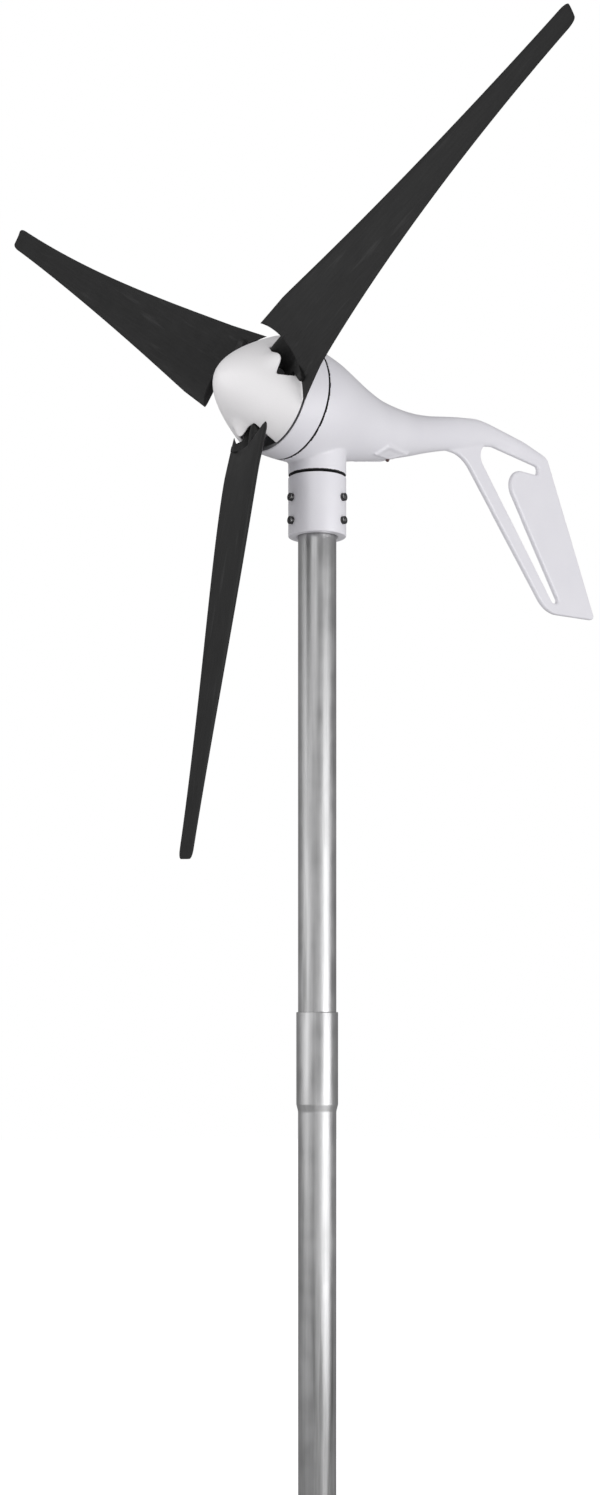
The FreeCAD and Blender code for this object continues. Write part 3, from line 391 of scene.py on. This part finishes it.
def finished(piece, body, slot, *nodes):
    """Puts a piece on its body in place of its CAD nodes, with its slot's material."""
    piece.data.materials.clear()
    piece.data.materials.append(MATERIALS[slot])
    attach(piece, body)
    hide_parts(*nodes)


def shade_painted_faces(piece, test):
    """Gives the faces that look into a joint, those that pass the test, the dark rubber material as painted shade.
    """
    # Painted shade: a dark material stands in for the shadow inside the joint.
    piece.data.materials.append(MATERIALS["black_rubber"])
    for polygon in piece.data.polygons:
        if test(polygon.center / MM, polygon.normal):
            polygon.material_index = 1


# ---- Materials --------------------------------------------------------------------------------------------

def noise(nodes, links, vector, scale, detail=4.0):
    texture = nodes.new("ShaderNodeTexNoise")
    texture.inputs["Scale"].default_value = scale
    texture.inputs["Detail"].default_value = detail
    links.new(vector, texture.inputs["Vector"])
    return texture.outputs["Fac"]


def remap(nodes, links, value, low, high, start=0.3, end=0.7):
    node = nodes.new("ShaderNodeMapRange")
    node.inputs["From Min"].default_value = start
    node.inputs["From Max"].default_value = end
    node.inputs["To Min"].default_value = low
    node.inputs["To Max"].default_value = high
    links.new(value, node.inputs["Value"])
    return node.outputs["Result"]


def blend_colours(nodes, links, factor, first, second):
    node = nodes.new("ShaderNodeMix")
    node.data_type = "RGBA"
    links.new(factor, node.inputs["Factor"])
    for socket, colour in ((node.inputs["A"], first), (node.inputs["B"], second)):
        if isinstance(colour, tuple):
            socket.default_value = (*colour, 1.0)
        else:
            links.new(colour, socket)
    return node.outputs["Result"]


def material(name, light, dark, roughness, metallic=0.0, grain=600.0, patch=18.0, stretch=(1, 1, 1),
             bump=0.08, relief=0.0002, specular=0.5, coat=0.0, marks=None, own_frame=False, painted_shade=None):
    """Surface with fine grain, broad patches, uneven gloss and a shallow relief.

    marks is a scale, a threshold and a colour for sparse stains. The last argument is a direction and a colour:
    faces square to that direction take that colour as painted shade. With own_frame, the pattern follows the
    piece's own coordinates. The relief is in metres.
    """
    made = bpy.data.materials.new(name)
    made.use_nodes = True
    nodes, links = made.node_tree.nodes, made.node_tree.links
    shader = nodes["Principled BSDF"]
    shader.inputs["Metallic"].default_value = metallic
    shader.inputs["Specular IOR Level"].default_value = specular
    shader.inputs["Coat Weight"].default_value = coat
    shader.inputs["Coat Roughness"].default_value = 0.15
    if own_frame:
        coords = nodes.new("ShaderNodeAttribute")
        coords.attribute_name = "own_place"
        place = coords.outputs["Vector"]
    else:
        place = nodes.new("ShaderNodeTexCoord").outputs["Object"]
    mapping = nodes.new("ShaderNodeMapping")
    mapping.inputs["Scale"].default_value = stretch
    links.new(place, mapping.inputs["Vector"])
    fine = noise(nodes, links, mapping.outputs["Vector"], grain)
    broad = noise(nodes, links, place, patch, 2.0)
    add = nodes.new("ShaderNodeMath")
    add.operation = "ADD"
    links.new(fine, add.inputs[0])
    links.new(broad, add.inputs[1])
    tone = remap(nodes, links, add.outputs["Value"], 0.0, 1.0, 0.7, 1.3)
    colour = blend_colours(nodes, links, tone, dark, light)
    if marks is not None:
        spots = noise(nodes, links, mapping.outputs["Vector"], marks[0], 6.0)
        share = remap(nodes, links, spots, 0.0, 1.0, marks[1], marks[1] + 0.14)
        colour = blend_colours(nodes, links, share, colour, marks[2])
    # Painted shade: faces square to the given direction take the given dark colour.
    if painted_shade is not None:
        square = nodes.new("ShaderNodeVectorMath")
        square.operation = "DOT_PRODUCT"
        links.new(nodes.new("ShaderNodeTexCoord").outputs["Normal"], square.inputs[0])
        square.inputs[1].default_value = painted_shade[0]
        share = remap(nodes, links, square.outputs["Value"], 0.0, 1.0, 0.9, 0.97)
        colour = blend_colours(nodes, links, share, colour, painted_shade[1])
    links.new(colour, shader.inputs["Base Color"])
    gloss = remap(nodes, links, broad, roughness * 0.85, min(1.0, roughness * 1.15))
    links.new(gloss, shader.inputs["Roughness"])
    lift = nodes.new("ShaderNodeBump")
    lift.inputs["Strength"].default_value = bump
    lift.inputs["Distance"].default_value = relief
    links.new(fine, lift.inputs["Height"])
    links.new(lift.outputs["Normal"], shader.inputs["Normal"])
    return made


def make_materials():
    paint = dict(light=(0.86, 0.853, 0.885), dark=(0.83, 0.822, 0.86), roughness=0.36, grain=900.0,
                 bump=0.05, coat=0.15)
    looks = {
        "white_paint": paint,
        # White paint whose front-facing faces carry a grey painted shade, for the face casting's front wall.
        "face_painted_shade": dict(paint, painted_shade=(FORWARD, (0.3, 0.3, 0.31))),
        "white_plastic": dict(light=(0.86, 0.85, 0.85), dark=(0.82, 0.81, 0.81), roughness=0.42,
                              grain=1100.0, own_frame=True),
        "blade_plastic": dict(light=(0.0195, 0.0195, 0.0195), dark=(0.0125, 0.0125, 0.0125), roughness=0.5,
                              grain=420.0, patch=30.0, stretch=(0.06, 1, 1), bump=0.3, relief=0.0003,
                              specular=0.2, marks=(150.0, 0.62, (0.03, 0.03, 0.03)), own_frame=True),
        "galvanised_tube": dict(light=(0.60, 0.60, 0.605), dark=(0.44, 0.44, 0.445), roughness=0.44,
                                metallic=1.0, grain=260.0, patch=22.0, stretch=(1, 1, 0.03), bump=0.3,
                                marks=(70.0, 0.6, (0.26, 0.26, 0.26))),
        "dark_steel": dict(light=(0.09, 0.09, 0.09), dark=(0.04, 0.04, 0.042), roughness=0.38,
                           metallic=0.8, grain=1500.0),
        "bright_steel": dict(light=(0.6, 0.6, 0.6), dark=(0.45, 0.45, 0.46), roughness=0.3,
                             metallic=1.0, grain=1500.0),
        "bearing_steel": dict(light=(0.7, 0.7, 0.71), dark=(0.55, 0.55, 0.56), roughness=0.15,
                              metallic=1.0, grain=2000.0, bump=0.04),
        "laminations": dict(light=(0.3, 0.3, 0.32), dark=(0.16, 0.16, 0.18), roughness=0.5,
                            metallic=0.8, grain=1800.0, stretch=(0.05, 1, 0.05), bump=0.4),
        "copper": dict(light=(0.62, 0.27, 0.12), dark=(0.4, 0.14, 0.06), roughness=0.3,
                       metallic=0.9, grain=900.0, stretch=(1, 0.2, 1), bump=0.5, coat=0.4),
        "magnet": dict(light=(0.6, 0.6, 0.57), dark=(0.48, 0.48, 0.46), roughness=0.22,
                       metallic=1.0, grain=1200.0),
        "plain_aluminium": dict(light=(0.72, 0.72, 0.73), dark=(0.56, 0.56, 0.58), roughness=0.38,
                                metallic=1.0, grain=1100.0, bump=0.2),
        "brass": dict(light=(0.74, 0.56, 0.24), dark=(0.56, 0.4, 0.16), roughness=0.26,
                      metallic=1.0, grain=1300.0, stretch=(1, 1, 8)),
        "black_rubber": dict(light=(0.03, 0.03, 0.03), dark=(0.014, 0.014, 0.014), roughness=0.75,
                             grain=1600.0, bump=0.3),
        "black_plastic": dict(light=(0.04, 0.04, 0.042), dark=(0.02, 0.02, 0.021), roughness=0.45,
                              grain=1500.0, bump=0.2),
        "carbon": dict(light=(0.06, 0.06, 0.064), dark=(0.025, 0.025, 0.027), roughness=0.6,
                       grain=2600.0, bump=0.4),
        "board": dict(light=(0.03, 0.19, 0.07), dark=(0.015, 0.1, 0.035), roughness=0.3,
                      grain=500.0, patch=90.0, coat=0.4),
        "red_lens": dict(light=(0.07, 0.012, 0.012), dark=(0.035, 0.006, 0.006), roughness=0.12,
                         grain=600.0, bump=0.03, coat=0.6),
    }
    return {name: material(name, **look) for name, look in looks.items()}


MATERIALS = make_materials()


def finish_cad_nodes():
    """Gives every CAD node its slot's material; the face casting's front face gets a grey painted shade."""
    for node, slot in SLOTS.items():
        piece = frame["nodes"][node]
        piece.data.materials.clear()
        # The face casting's front face is painted grey as shade.
        surface = "face_painted_shade" if node == "face_casting" else slot
        piece.data.materials.append(MATERIALS[surface])


# ---- Blades -----------------------------------------------------------------------------------------------

def grown(law, share):
    start, growth, power = law
    return start + growth * share ** power


def blade_station(r):
    """Chord, twist, mid-chord offset, mid-chord station and thickness of the blade at radius r."""
    share = (BLADE_TIP_R - r) / (BLADE_TIP_R - BLADE_ROOT_R)
    inside = min(0.0, r - BLADE_ROOT_R)
    outside = max(0.0, 1.0 - share)
    chord = grown(BLADE_CHORD, share)
    twist = math.radians(grown(BLADE_TWIST_DEGREES, share))
    sweep = BLADE_SWEEP * math.sin(math.pi * max(0.0, r - BLADE_ROOT_R) / BLADE_SWEEP_LENGTH)
    offset = sweep + ROOT_LEAN * inside
    station = grown(BLADE_STATION, outside) + ROOT_RAKE * inside
    return chord, twist, offset, station, grown(BLADE_THICKNESS, share)


def blade_point(r, share, side, fullness=1.0, narrow=1.0):
    """Point of the skin at a share of the chord from the leading edge, on a four-digit aerofoil form.

    side is 1 on the front and -1 on the back.
    """
    chord, twist, offset, station, thickness = blade_station(r)
    chord *= narrow
    root = math.sqrt(share)
    form = 0.2969 * root - 0.126 * share - 0.3516 * share ** 2 + 0.2843 * share ** 3 - 0.1015 * share ** 4
    half = (5.0 * thickness * form + TRAILING_EDGE * share) * fullness
    bow = BLADE_BOW * chord * share * (1.0 - share)
    along = chord * (0.5 - share)
    across = side * half - bow
    c, s = math.cos(twist), math.sin(twist)
    return (r, offset + along * c - across * s, station + along * s + across * c)


def inner_radius(share):
    """Where the chord line at that share meets the round inner edge, found by repeated steps."""
    r = BLADE_INNER_R * 0.8
    for _ in range(30):
        t = blade_point(r, share, 0)[1]
        r = math.sqrt(max(1.0, BLADE_INNER_R ** 2 - t ** 2))
    return r


def blade_skin():
    """Outboard part of the blade, from its round inner edge to its tip."""
    count = 44
    shares = [0.5 - 0.5 * math.cos(math.pi * i / count) for i in range(count + 1)]
    starts = [inner_radius(share) for share in shares]
    depths = [0.0, 0.12, 0.35, 0.7, 1.1, ROOT_EDGE]
    root_rows, span_rows, tip_rows = 25, 70, 14
    rows = []
    for depth in depths:
        fullness = math.sqrt(max(0.0, 1.0 - (1.0 - depth / ROOT_EDGE) ** 2))
        rows.append([(start + depth, fullness, 1.0) for start in starts])
    for step in range(1, root_rows + 1):
        u = step / root_rows
        radii = [start + ROOT_EDGE + (ROOT_END_R - start - ROOT_EDGE) * u for start in starts]
        rows.append([(r, 1.0, 1.0) for r in radii])
    for step in range(1, span_rows + 1):
        r = ROOT_END_R + (BLADE_TIP_R - TIP_ROUND - ROOT_END_R) * step / span_rows
        rows.append([(r, 1.0, 1.0)] * (count + 1))
    for step in range(1, tip_rows + 1):
        q = math.sin(math.pi / 2 * step / tip_rows)
        r = BLADE_TIP_R - TIP_ROUND + TIP_ROUND * q
        narrow = TIP_NARROW + (1.0 - TIP_NARROW) * (1.0 - q ** 2.6) ** 0.5
        rows.append([(r, math.sqrt(max(0.0, 1.0 - q ** 6)), narrow)] * (count + 1))
    rings = []
    for row in rows:
        front = [blade_point(r, s, 1, f, n) for (r, f, n), s in zip(row, shares)]
        back = [blade_point(r, s, -1, f, n) for (r, f, n), s in zip(row, shares)]
        rings.append(front + back[::-1])
    return loft("blade_skin", rings, capped=False)


def surface_height(r, t, side):
    """Station of the blade's skin at radius r and t across it."""
    chord, twist, offset = blade_station(r)[:3]
    share = 0.5 - (t - offset) / (chord * math.cos(twist))
    return blade_point(r, clamped(share), side)[2]


def blade_neck():
    """Inboard part of the blade under the nose cone's notch, with a rib and a hollow along its front."""
    low, high = BLADE_NECK
    rows, columns = 34, 36
    rings = []
    for step in range(rows + 1):
        r = NECK_START_R + (NECK_END_R - NECK_START_R) * step / rows
        sink = NECK_SINK * clamped((r - NECK_SINK_R) / NECK_SINK_LENGTH)
        rib_height = RIB_HEIGHT * clamped((NECK_END_R - r) / RIB_FADE)
        hollow = HOLLOW_DEPTH * clamped((NECK_END_R - r) / HOLLOW_FADE) * (r < HOLLOW_END_R)
        flare = NECK_FLARE * fade((r - NECK_FLARE_R[0]) / 5.0) * fade((NECK_FLARE_R[1] - r) / 3.0)
        front = []
        back = []
        for j in range(columns + 1):
            share = j / columns
            t = low - flare + (high - low + flare) * share
            corner = NECK_EDGE * (1.0 - min(1.0, min(share, 1.0 - share) / NECK_EDGE_SHARE)) ** 2
            rib = rib_height * mound(t, RIB_PLACE, RIB_WIDTH)
            dip = hollow * mound(t, HOLLOW_PLACE, HOLLOW_WIDTH)
            flat = max(t, low)
            front.append((r, t, surface_height(r, flat, 1) - sink - corner + rib - dip))
            back.append((r, t, surface_height(r, flat, -1) + NECK_BACK_INSET + corner - dip))
        rings.append(front + back[::-1])
    return loft("blade_neck", rings)


def make_blades():
    mesh = joined("blade", [blade_skin(), blade_neck()])
    for number, azimuth in enumerate(BLADE_AZIMUTHS, 1):
        place = SHAFT @ Matrix.Rotation(math.radians(azimuth), 4, "Z")
        piece = new_object("blade_moulding_%d" % number, mesh.copy())
        settled(smooth_shaded(piece, 40), place)
        finished(piece, "rotor", "blade_plastic", "blade_%d" % number)


# ---- Nose cone --------------------------------------------------------------------------------------------

def nose_radius(station):
    share = (station - NOSE_ORIGIN) / NOSE_LENGTH
    return min(NOSE_BASE_R, NOSE_BASE_R * NOSE_FULLNESS * max(0.0, 1.0 - share) ** (1.0 / NOSE_POWER))


def lobe_reach(turn, station):
    """How far the cone flicks outward over a blade's root; turn is the angle past one blade's azimuth."""
    past = (turn - LOBE_AZIMUTH + THIRD / 2) % THIRD - THIRD / 2
    across = math.cos(math.pi / 2 * min(1.0, abs(past) / LOBE_HALF_ANGLE)) ** 2
    along = clamped(1.0 - (station - NOTCH_FRONT) / LOBE_LENGTH)
    return LOBE_REACH * across * along ** 2


def nose_sheet():
    """Outer skin of the nose cone with its three notches left open at the back."""
    columns = int(360 / COLUMN_ANGLE)
    back_rows, front_rows = 26, 44
    back = NOSE_BACK + JOINT_RELIEF
    stations = [back + (NOTCH_FRONT - back) * i / back_rows for i in range(back_rows + 1)]
    start = nose_radius(NOTCH_FRONT) / NOSE_BASE_R
    for i in range(1, front_rows):
        v = start * (1.0 - i / front_rows)
        stations.append(NOSE_ORIGIN + NOSE_LENGTH * (1.0 - (v / NOSE_FULLNESS) ** NOSE_POWER))
    points = []
    for station in stations:
        for j in range(columns):
            angle = math.radians(BLADE_AZIMUTHS[0] + COLUMN_ANGLE * j)
            radius = nose_radius(station)
            if station > NOTCH_FRONT - 0.01:
                radius += lobe_reach(COLUMN_ANGLE * j, station)
            points.append((radius * math.cos(angle), radius * math.sin(angle), station))
    points.append((0.0, 0.0, NOSE_ORIGIN + NOSE_LENGTH))
    third = columns // 3
    faces = []
    for i in range(len(stations) - 1):
        for j in range(columns):
            place = (j - NOTCH_COLUMNS[0]) % third
            if i < back_rows and place < NOTCH_COLUMNS[1] - NOTCH_COLUMNS[0]:
                continue
            k = (j + 1) % columns
            near, far = i * columns, (i + 1) * columns
            faces.append((near + j, near + k, far + k, far + j))
    last = (len(stations) - 1) * columns
    for j in range(columns):
        faces.append((last + j, last + (j + 1) % columns, len(points) - 1))
    return mesh_from("nose_sheet", points, faces)


def shaft_station(point):
    """Distance of a point, in mm of the row frame, forward along the shaft."""
    return (SHAFT.inverted() @ (point * MM)).z / MM


def make_nose():
    sheet = new_object("nose_shell", nose_sheet())
    wall = sheet.modifiers.new("wall", "SOLIDIFY")
    wall.thickness = NOSE_WALL * MM
    wall.offset = -1.0
    applied(sheet)
    soft_from = NOTCH_FRONT - NOSE_SOFT_LENGTH
    cast_as_one(sheet, NOSE_VOXEL, NOSE_SMOOTHING, lambda p: 1.0 if p.z > soft_from else NOSE_BACK_SOFTNESS)
    settled(smooth_shaded(sheet), SHAFT)
    finished(sheet, "rotor", "white_plastic", "nose_cone")
    rim = NOSE_BACK + JOINT_RELIEF + 0.6
    # The nose cone's back rim is painted dark, as the shade in the gap behind it.
    shade_painted_faces(sheet, lambda point, facing: facing.dot(FORWARD) < -0.7 and shaft_station(point) < rim)


# ---- Body casting -----------------------------------------------------------------------------------------

def body_loft():
    front = FACE_JOINT - JOINT_RELIEF
    rings = [[tuple(SHAFT @ (Vector(p) * MM) / MM) for p in circle(NACELLE_R, front, BODY_SIDES)]]
    stations = [-FACE_JOINT]
    for y, top, bottom, half_width in BODY_SECTIONS:
        middle = AXIS_Z + (top + bottom) / 2
        half = (top - bottom) / 2
        rings.append([(half_width * x, y, middle + half * z) for x, z, _ in circle(1.0, 0.0, BODY_SIDES)])
        stations.append(y)
    return loft("body_loft", smooth_rings(rings, stations, np.linspace(stations[0], stations[-1], 150)))


def fin_mesh():
    """Fin plate with its slot and rounded edges, as a filled and bevelled outline."""
    curve = bpy.data.curves.new("fin_outline", "CURVE")
    curve.dimensions = "2D"
    curve.fill_mode = "BOTH"
    curve.bevel_depth = FIN_EDGE_RADIUS * MM
    curve.bevel_resolution = 4
    curve.extrude = (FIN_THICKNESS / 2 - FIN_EDGE_RADIUS) * MM
    curve.offset = -FIN_EDGE_RADIUS * MM
    for corners in (FIN_OUTLINE, FIN_SLOT):
        outline = rounded([(c[0], c[1]) for c in corners], [c[2] for c in corners], 10)
        spline = curve.splines.new("POLY")
        spline.points.add(len(outline) - 1)
        for point, (y, z) in zip(spline.points, outline):
            point.co = (y * MM, z * MM, 0.0, 1.0)
        spline.use_cyclic_u = True
    holder = new_object("fin_holder", curve)
    graph = bpy.context.evaluated_depsgraph_get()
    mesh = bpy.data.meshes.new_from_object(holder.evaluated_get(graph))
    bpy.data.objects.remove(holder)
    upright = Matrix(((0, 0, 1, 0), (1, 0, 0, 0), (0, 1, 0, AXIS_Z * MM), (0, 0, 0, 1)))
    mesh.transform(upright)
    return welded(mesh, False)


def flank_point(y, height):
    """Point of the body's +X flank at y and a height above its lowest line, and the way its surface faces."""
    places, *outlines = zip(*BODY_SECTIONS)
    top, bottom, half_width = (np.interp(y, places, outline) for outline in outlines)
    half = (top - bottom) / 2
    rise = height / half - 1.0
    across = math.sqrt(max(0.0, 1.0 - rise ** 2))
    facing = Vector((across / half_width, 0.0, rise / half)).normalized()
    return Vector((half_width * across, y, AXIS_Z + (top + bottom) / 2 + half * rise)), facing


def belly_boss(mirror):
    """Low angular boss cast on the belly beside the status light."""
    top = []
    base = []
    for y, height in BOSS_CORNERS:
        place, facing = flank_point(y, height)
        top.append(place + facing * BOSS_PROUD)
        base.append(place - facing * BOSS_ROOT)
    middle = sum(top, Vector()) / len(top)
    rim = [middle + (p - middle) * BOSS_RIM for p in top]
    dish = [middle + (p - middle) * BOSS_DISH - Vector((BOSS_DISH_DEPTH, 0, 0)) for p in top]
    rings = [base, top, rim, dish]
    return loft("belly_boss", [[(p.x * mirror, p.y, p.z) for p in ring] for ring in rings])


def make_body():
    neck_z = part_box("yaw_collar")[1].z / MM + NECK_GAP + JOINT_RELIEF
    neck = loft("neck", [circle(NECK_R, z, BODY_SIDES) for z in (neck_z, neck_z + NECK_HEIGHT)])
    bosses = [belly_boss(mirror) for mirror in (1, -1)]
    mesh = joined("body_shell", [body_loft(), fin_mesh(), neck] + bosses)
    piece = new_object("body_shell", mesh)

    def softness(point):
        away_from_face = clamped((point.y + 38.0) / 20.0)
        away_from_neck = clamped((point.z - neck_z - 3.0) / 6.0)
        return max(0.12, min(away_from_face, away_from_neck))

    cast_as_one(piece, BODY_VOXEL, BODY_SMOOTHING, softness)
    smooth_shaded(piece)
    finished(piece, "nacelle", "white_paint", "body_casting")

    def in_joint(point, facing):
        at_face = facing.dot(FORWARD) > 0.7 and shaft_station(point) > FACE_JOINT - JOINT_RELIEF - 1.2
        in_neck = math.hypot(point.x, point.y) < NECK_R + 1.0
        at_collar = facing.z < -0.8 and point.z < neck_z + 0.8 and in_neck
        return at_face or at_collar

    # The body's front joint face and the neck's underside are painted dark, as the shade in these gaps.
    shade_painted_faces(piece, in_joint)


def spring_rings(low, high):
    """Rings of a coil's wire that fills the box between its corners low and high, along Y."""
    middle = (low + high) / 2
    reach = (high.x - low.x) / 2 - SPRING_WIRE_R
    travel = high.y - low.y - 2 * SPRING_WIRE_R
    steps = SPRING_TURNS * SPRING_STEPS
    rings = []
    for i in range(steps + 1):
        turn = 2 * math.pi * i / SPRING_STEPS
        outward = Vector((math.cos(turn), 0.0, math.sin(turn)))
        core = Vector((middle.x, low.y + SPRING_WIRE_R + travel * i / steps, middle.z)) + outward * reach
        ring = []
        for j in range(SPRING_SIDES):
            b = 2 * math.pi * j / SPRING_SIDES
            across = outward * math.cos(b) + Vector((0, 1, 0)) * math.sin(b)
            ring.append(tuple(core + across * SPRING_WIRE_R))
        rings.append(ring)
    return rings


def make_brush_springs():
    """Coil springs behind the brushes, each filling the box of its CAD spring."""
    for number in (1, 2, 3):
        node = "brush_spring_%d" % number
        low, high = (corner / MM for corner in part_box(node))
        coil = new_object("brush_coil_%d" % number, loft("brush_coil", spring_rings(low, high)))
        smooth_shaded(coil, 50)
        finished(coil, "nacelle", SLOTS[node], node)
        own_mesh(coil)


# ---- Mast and collar --------------------------------------------------------------------------------------

def make_mast():
    lower_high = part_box("lower_mast_tube")[1]
    upper_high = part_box("upper_mast_tube")[1]
    socket_r, top = lower_high.x / MM, lower_high.z / MM
    tube_r, tube_top = upper_high.x / MM, upper_high.z / MM
    bore = tube_r - TUBE_WALL
    socket_bore = tube_r + SOCKET_CLEARANCE
    seat = top - SOCKET_DEPTH
    profile = [(bore, 0.0), (tube_r, 0.0), (tube_r, seat - SWAGE_LENGTH), (socket_r, seat), (socket_r, top),
               (socket_bore, top), (socket_bore, seat), (bore, seat)]
    tube = lathe("mast_lower_tube", rounded(profile, [0.4, 0.8, 14.0, 9.0, 0.9, 0.5, 0, 0]))
    lower = new_object("mast_lower_tube", tube)
    smooth_shaded(lower, 40)
    finished(lower, "mast", "galvanised_tube", "lower_mast_tube")
    profile = [(bore, seat), (tube_r, seat), (tube_r, tube_top), (bore, tube_top)]
    tube = lathe("mast_upper_tube", rounded(profile, [0.4, 0.8, 0.8, 0.4]))
    upper = new_object("mast_upper_tube", tube)
    smooth_shaded(upper, 40)
    finished(upper, "mast", "galvanised_tube", "upper_mast_tube")


def make_collar():
    low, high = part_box("yaw_collar")
    bottom, top, radius = low.z / MM, high.z / MM, high.x / MM
    web = bottom + COLLAR_WEB
    profile = [(COLLAR_GRIP_R + COLLAR_CHAMFER, bottom), (radius, bottom), (radius, top), (YAW_SHAFT_R, top),
               (YAW_SHAFT_R, web), (COLLAR_GRIP_R, web), (COLLAR_GRIP_R, bottom + COLLAR_CHAMFER)]
    casting = lathe("collar_casting", rounded(profile, [0.3, 1.4, 1.0, 0.3, 0.3, 0.5, 0.5]))
    collar = new_object("collar_casting", casting)
    smooth_shaded(collar, 40)
    finished(collar, "mast", "white_paint", "yaw_collar")
    make_collar_screws(bottom, radius)


def hexagon_radius(flat, angle):
    """Radius, at an angle, of a hexagon whose sides are a distance flat from its centre."""
    return flat / math.cos((angle % (math.pi / 3)) - math.pi / 6)


def screw_rings(reach):
    """Rings of a screw's head along +X, with rounded edges and a hexagon socket."""
    def ring(x, radius, hexed=0.0):
        points = []
        for i in range(SCREW_SIDES):
            a = 2 * math.pi * i / SCREW_SIDES
            r = radius * (1 - hexed) + hexagon_radius(radius, a) * hexed
            points.append((x, r * math.cos(a), r * math.sin(a)))
        return points
    outside = COLLAR_SCREW_R
    return [
        ring(reach - 6.8, outside * 0.6), ring(reach - 6.4, outside), ring(reach - 1.1, outside),
        ring(reach - 0.55, outside - 0.18), ring(reach - 0.15, outside - 0.6), ring(reach, outside - 1.2),
        ring(reach - 0.1, 2.3, 1.0), ring(reach - 0.4, 2.1, 1.0), ring(reach - 2.2, 2.05, 1.0),
        ring(reach - 2.5, 1.0), ring(reach - 2.6, 0.2),
    ]


def make_collar_screws(bottom, radius):
    meshes = []
    for row in COLLAR_SCREW_ROWS:
        for third in range(3):
            mesh = loft("collar_screw", screw_rings(radius + COLLAR_SCREW_PROUD))
            turn = Matrix.Rotation(math.radians(COLLAR_SCREW_AZIMUTH + THIRD * third), 4, "Z")
            mesh.transform(Matrix.Translation((0, 0, (bottom + row) * MM)) @ turn)
            meshes.append(mesh)
    piece = new_object("collar_screw_set", joined("collar_screw_set", meshes))
    smooth_shaded(piece, 30)
    finished(piece, "mast", "dark_steel", "collar_screws")
    piece.data.materials.append(MATERIALS["bright_steel"])
    socket = (radius + COLLAR_SCREW_PROUD - HEX_SOCKET_LIP) * MM
    for polygon in piece.data.polygons:
        centre = polygon.center
        across = math.hypot(centre.x, centre.y)
        level = min(abs(centre.z / MM - bottom - row) for row in COLLAR_SCREW_ROWS)
        inside = socket - HEX_SOCKET_DEPTH * MM < across < socket and level < HEX_SOCKET_R
        polygon.material_index = 1 if inside else 0


# ---- Stage ------------------------------------------------------------------------------------------------

def make_floor():
    rings = [circle(FLOOR_R, height, 64) for height in (0.0, -FLOOR_THICKNESS)]
    floor = new_object("floor", loft("floor", rings))
    surface = bpy.data.materials.new("floor")
    surface.use_nodes = True
    shader = surface.node_tree.nodes["Principled BSDF"]
    shader.inputs["Base Color"].default_value = (0.9, 0.9, 0.9, 1.0)
    shader.inputs["Roughness"].default_value = 0.9
    shader.inputs["Emission Color"].default_value = (1.0, 1.0, 1.0, 1.0)
    shader.inputs["Emission Strength"].default_value = 0.7
    floor.data.materials.append(surface)
    floor.visible_diffuse = False
    floor.visible_glossy = False


def make_world():
    """White backdrop, with a dimmer studio that the object is lit by and reflects."""
    world = bpy.data.worlds.new("studio")
    bpy.context.scene.world = world
    world.use_nodes = True
    nodes, links = world.node_tree.nodes, world.node_tree.links
    room = nodes["Background"]
    room.inputs["Color"].default_value = (0.975, 0.965, 1.0, 1.0)
    room.inputs["Strength"].default_value = ROOM_STRENGTH
    dark = nodes.new("ShaderNodeBackground")
    dark.inputs["Strength"].default_value = REFLECTED_STRENGTH
    backdrop = nodes.new("ShaderNodeBackground")
    backdrop.inputs["Color"].default_value = (1.0, 1.0, 1.0, 1.0)
    backdrop.inputs["Strength"].default_value = 1.0
    path = nodes.new("ShaderNodeLightPath")
    mix = nodes.new("ShaderNodeMixShader")
    reflected = nodes.new("ShaderNodeMixShader")
    links.new(path.outputs["Is Glossy Ray"], reflected.inputs["Fac"])
    links.new(room.outputs["Background"], reflected.inputs[1])
    links.new(dark.outputs["Background"], reflected.inputs[2])
    links.new(path.outputs["Is Camera Ray"], mix.inputs["Fac"])
    links.new(reflected.outputs["Shader"], mix.inputs[1])
    links.new(backdrop.outputs["Background"], mix.inputs[2])
    links.new(mix.outputs["Shader"], nodes["World Output"].inputs["Surface"])


def softbox(name, azimuth, height, distance, width, tall, power):
    """Area light aimed at the rotor head, in metres and watts.

    The azimuth is measured from the camera's side, to its right.
    """
    angle = math.radians(CAMERA_AZIMUTH - 90.0 + azimuth)
    target = Vector((0.0, 0.05, AXIS_Z * MM))
    place = Vector((distance * math.cos(angle), distance * math.sin(angle), height))
    light = bpy.data.lights.new(name, "AREA")
    light.shape = "RECTANGLE"
    light.size = width
    light.size_y = tall
    light.energy = power
    lamp = new_object(name, light)
    lamp.location = place
    lamp.rotation_euler = (target - place).to_track_quat("-Z", "Y").to_euler()


def make_lights():
    softbox("key_left", -64.0, 1.7, 3.0, 2.6, 3.0, 40.0)
    softbox("side_right", 55.0, 0.6, 3.2, 2.4, 2.2, 58.0)
    softbox("front_fill", -20.0, 2.5, 3.6, 2.4, 1.4, 18.0)
    softbox("floor_bounce", 20.0, 0.06, 2.2, 2.4, 1.0, 9.0)


def make_camera():
    data = bpy.data.cameras.new("camera")
    data.sensor_width = CAMERA_SENSOR
    data.lens = CAMERA_LENS
    data.shift_y = CAMERA_SHIFT
    data.clip_end = 60.0
    camera = new_object("camera", data)
    camera.location = CAMERA_PLACE
    camera.rotation_euler = (math.radians(90.0), 0.0, math.radians(CAMERA_AZIMUTH))
    bpy.context.scene.camera = camera


make_camera()
make_world()
make_lights()
make_floor()
bpy.context.scene.view_settings.view_transform = "Standard"
finish_cad_nodes()
make_mast()
make_collar()
make_body()
make_brush_springs()
make_nose()
make_blades()
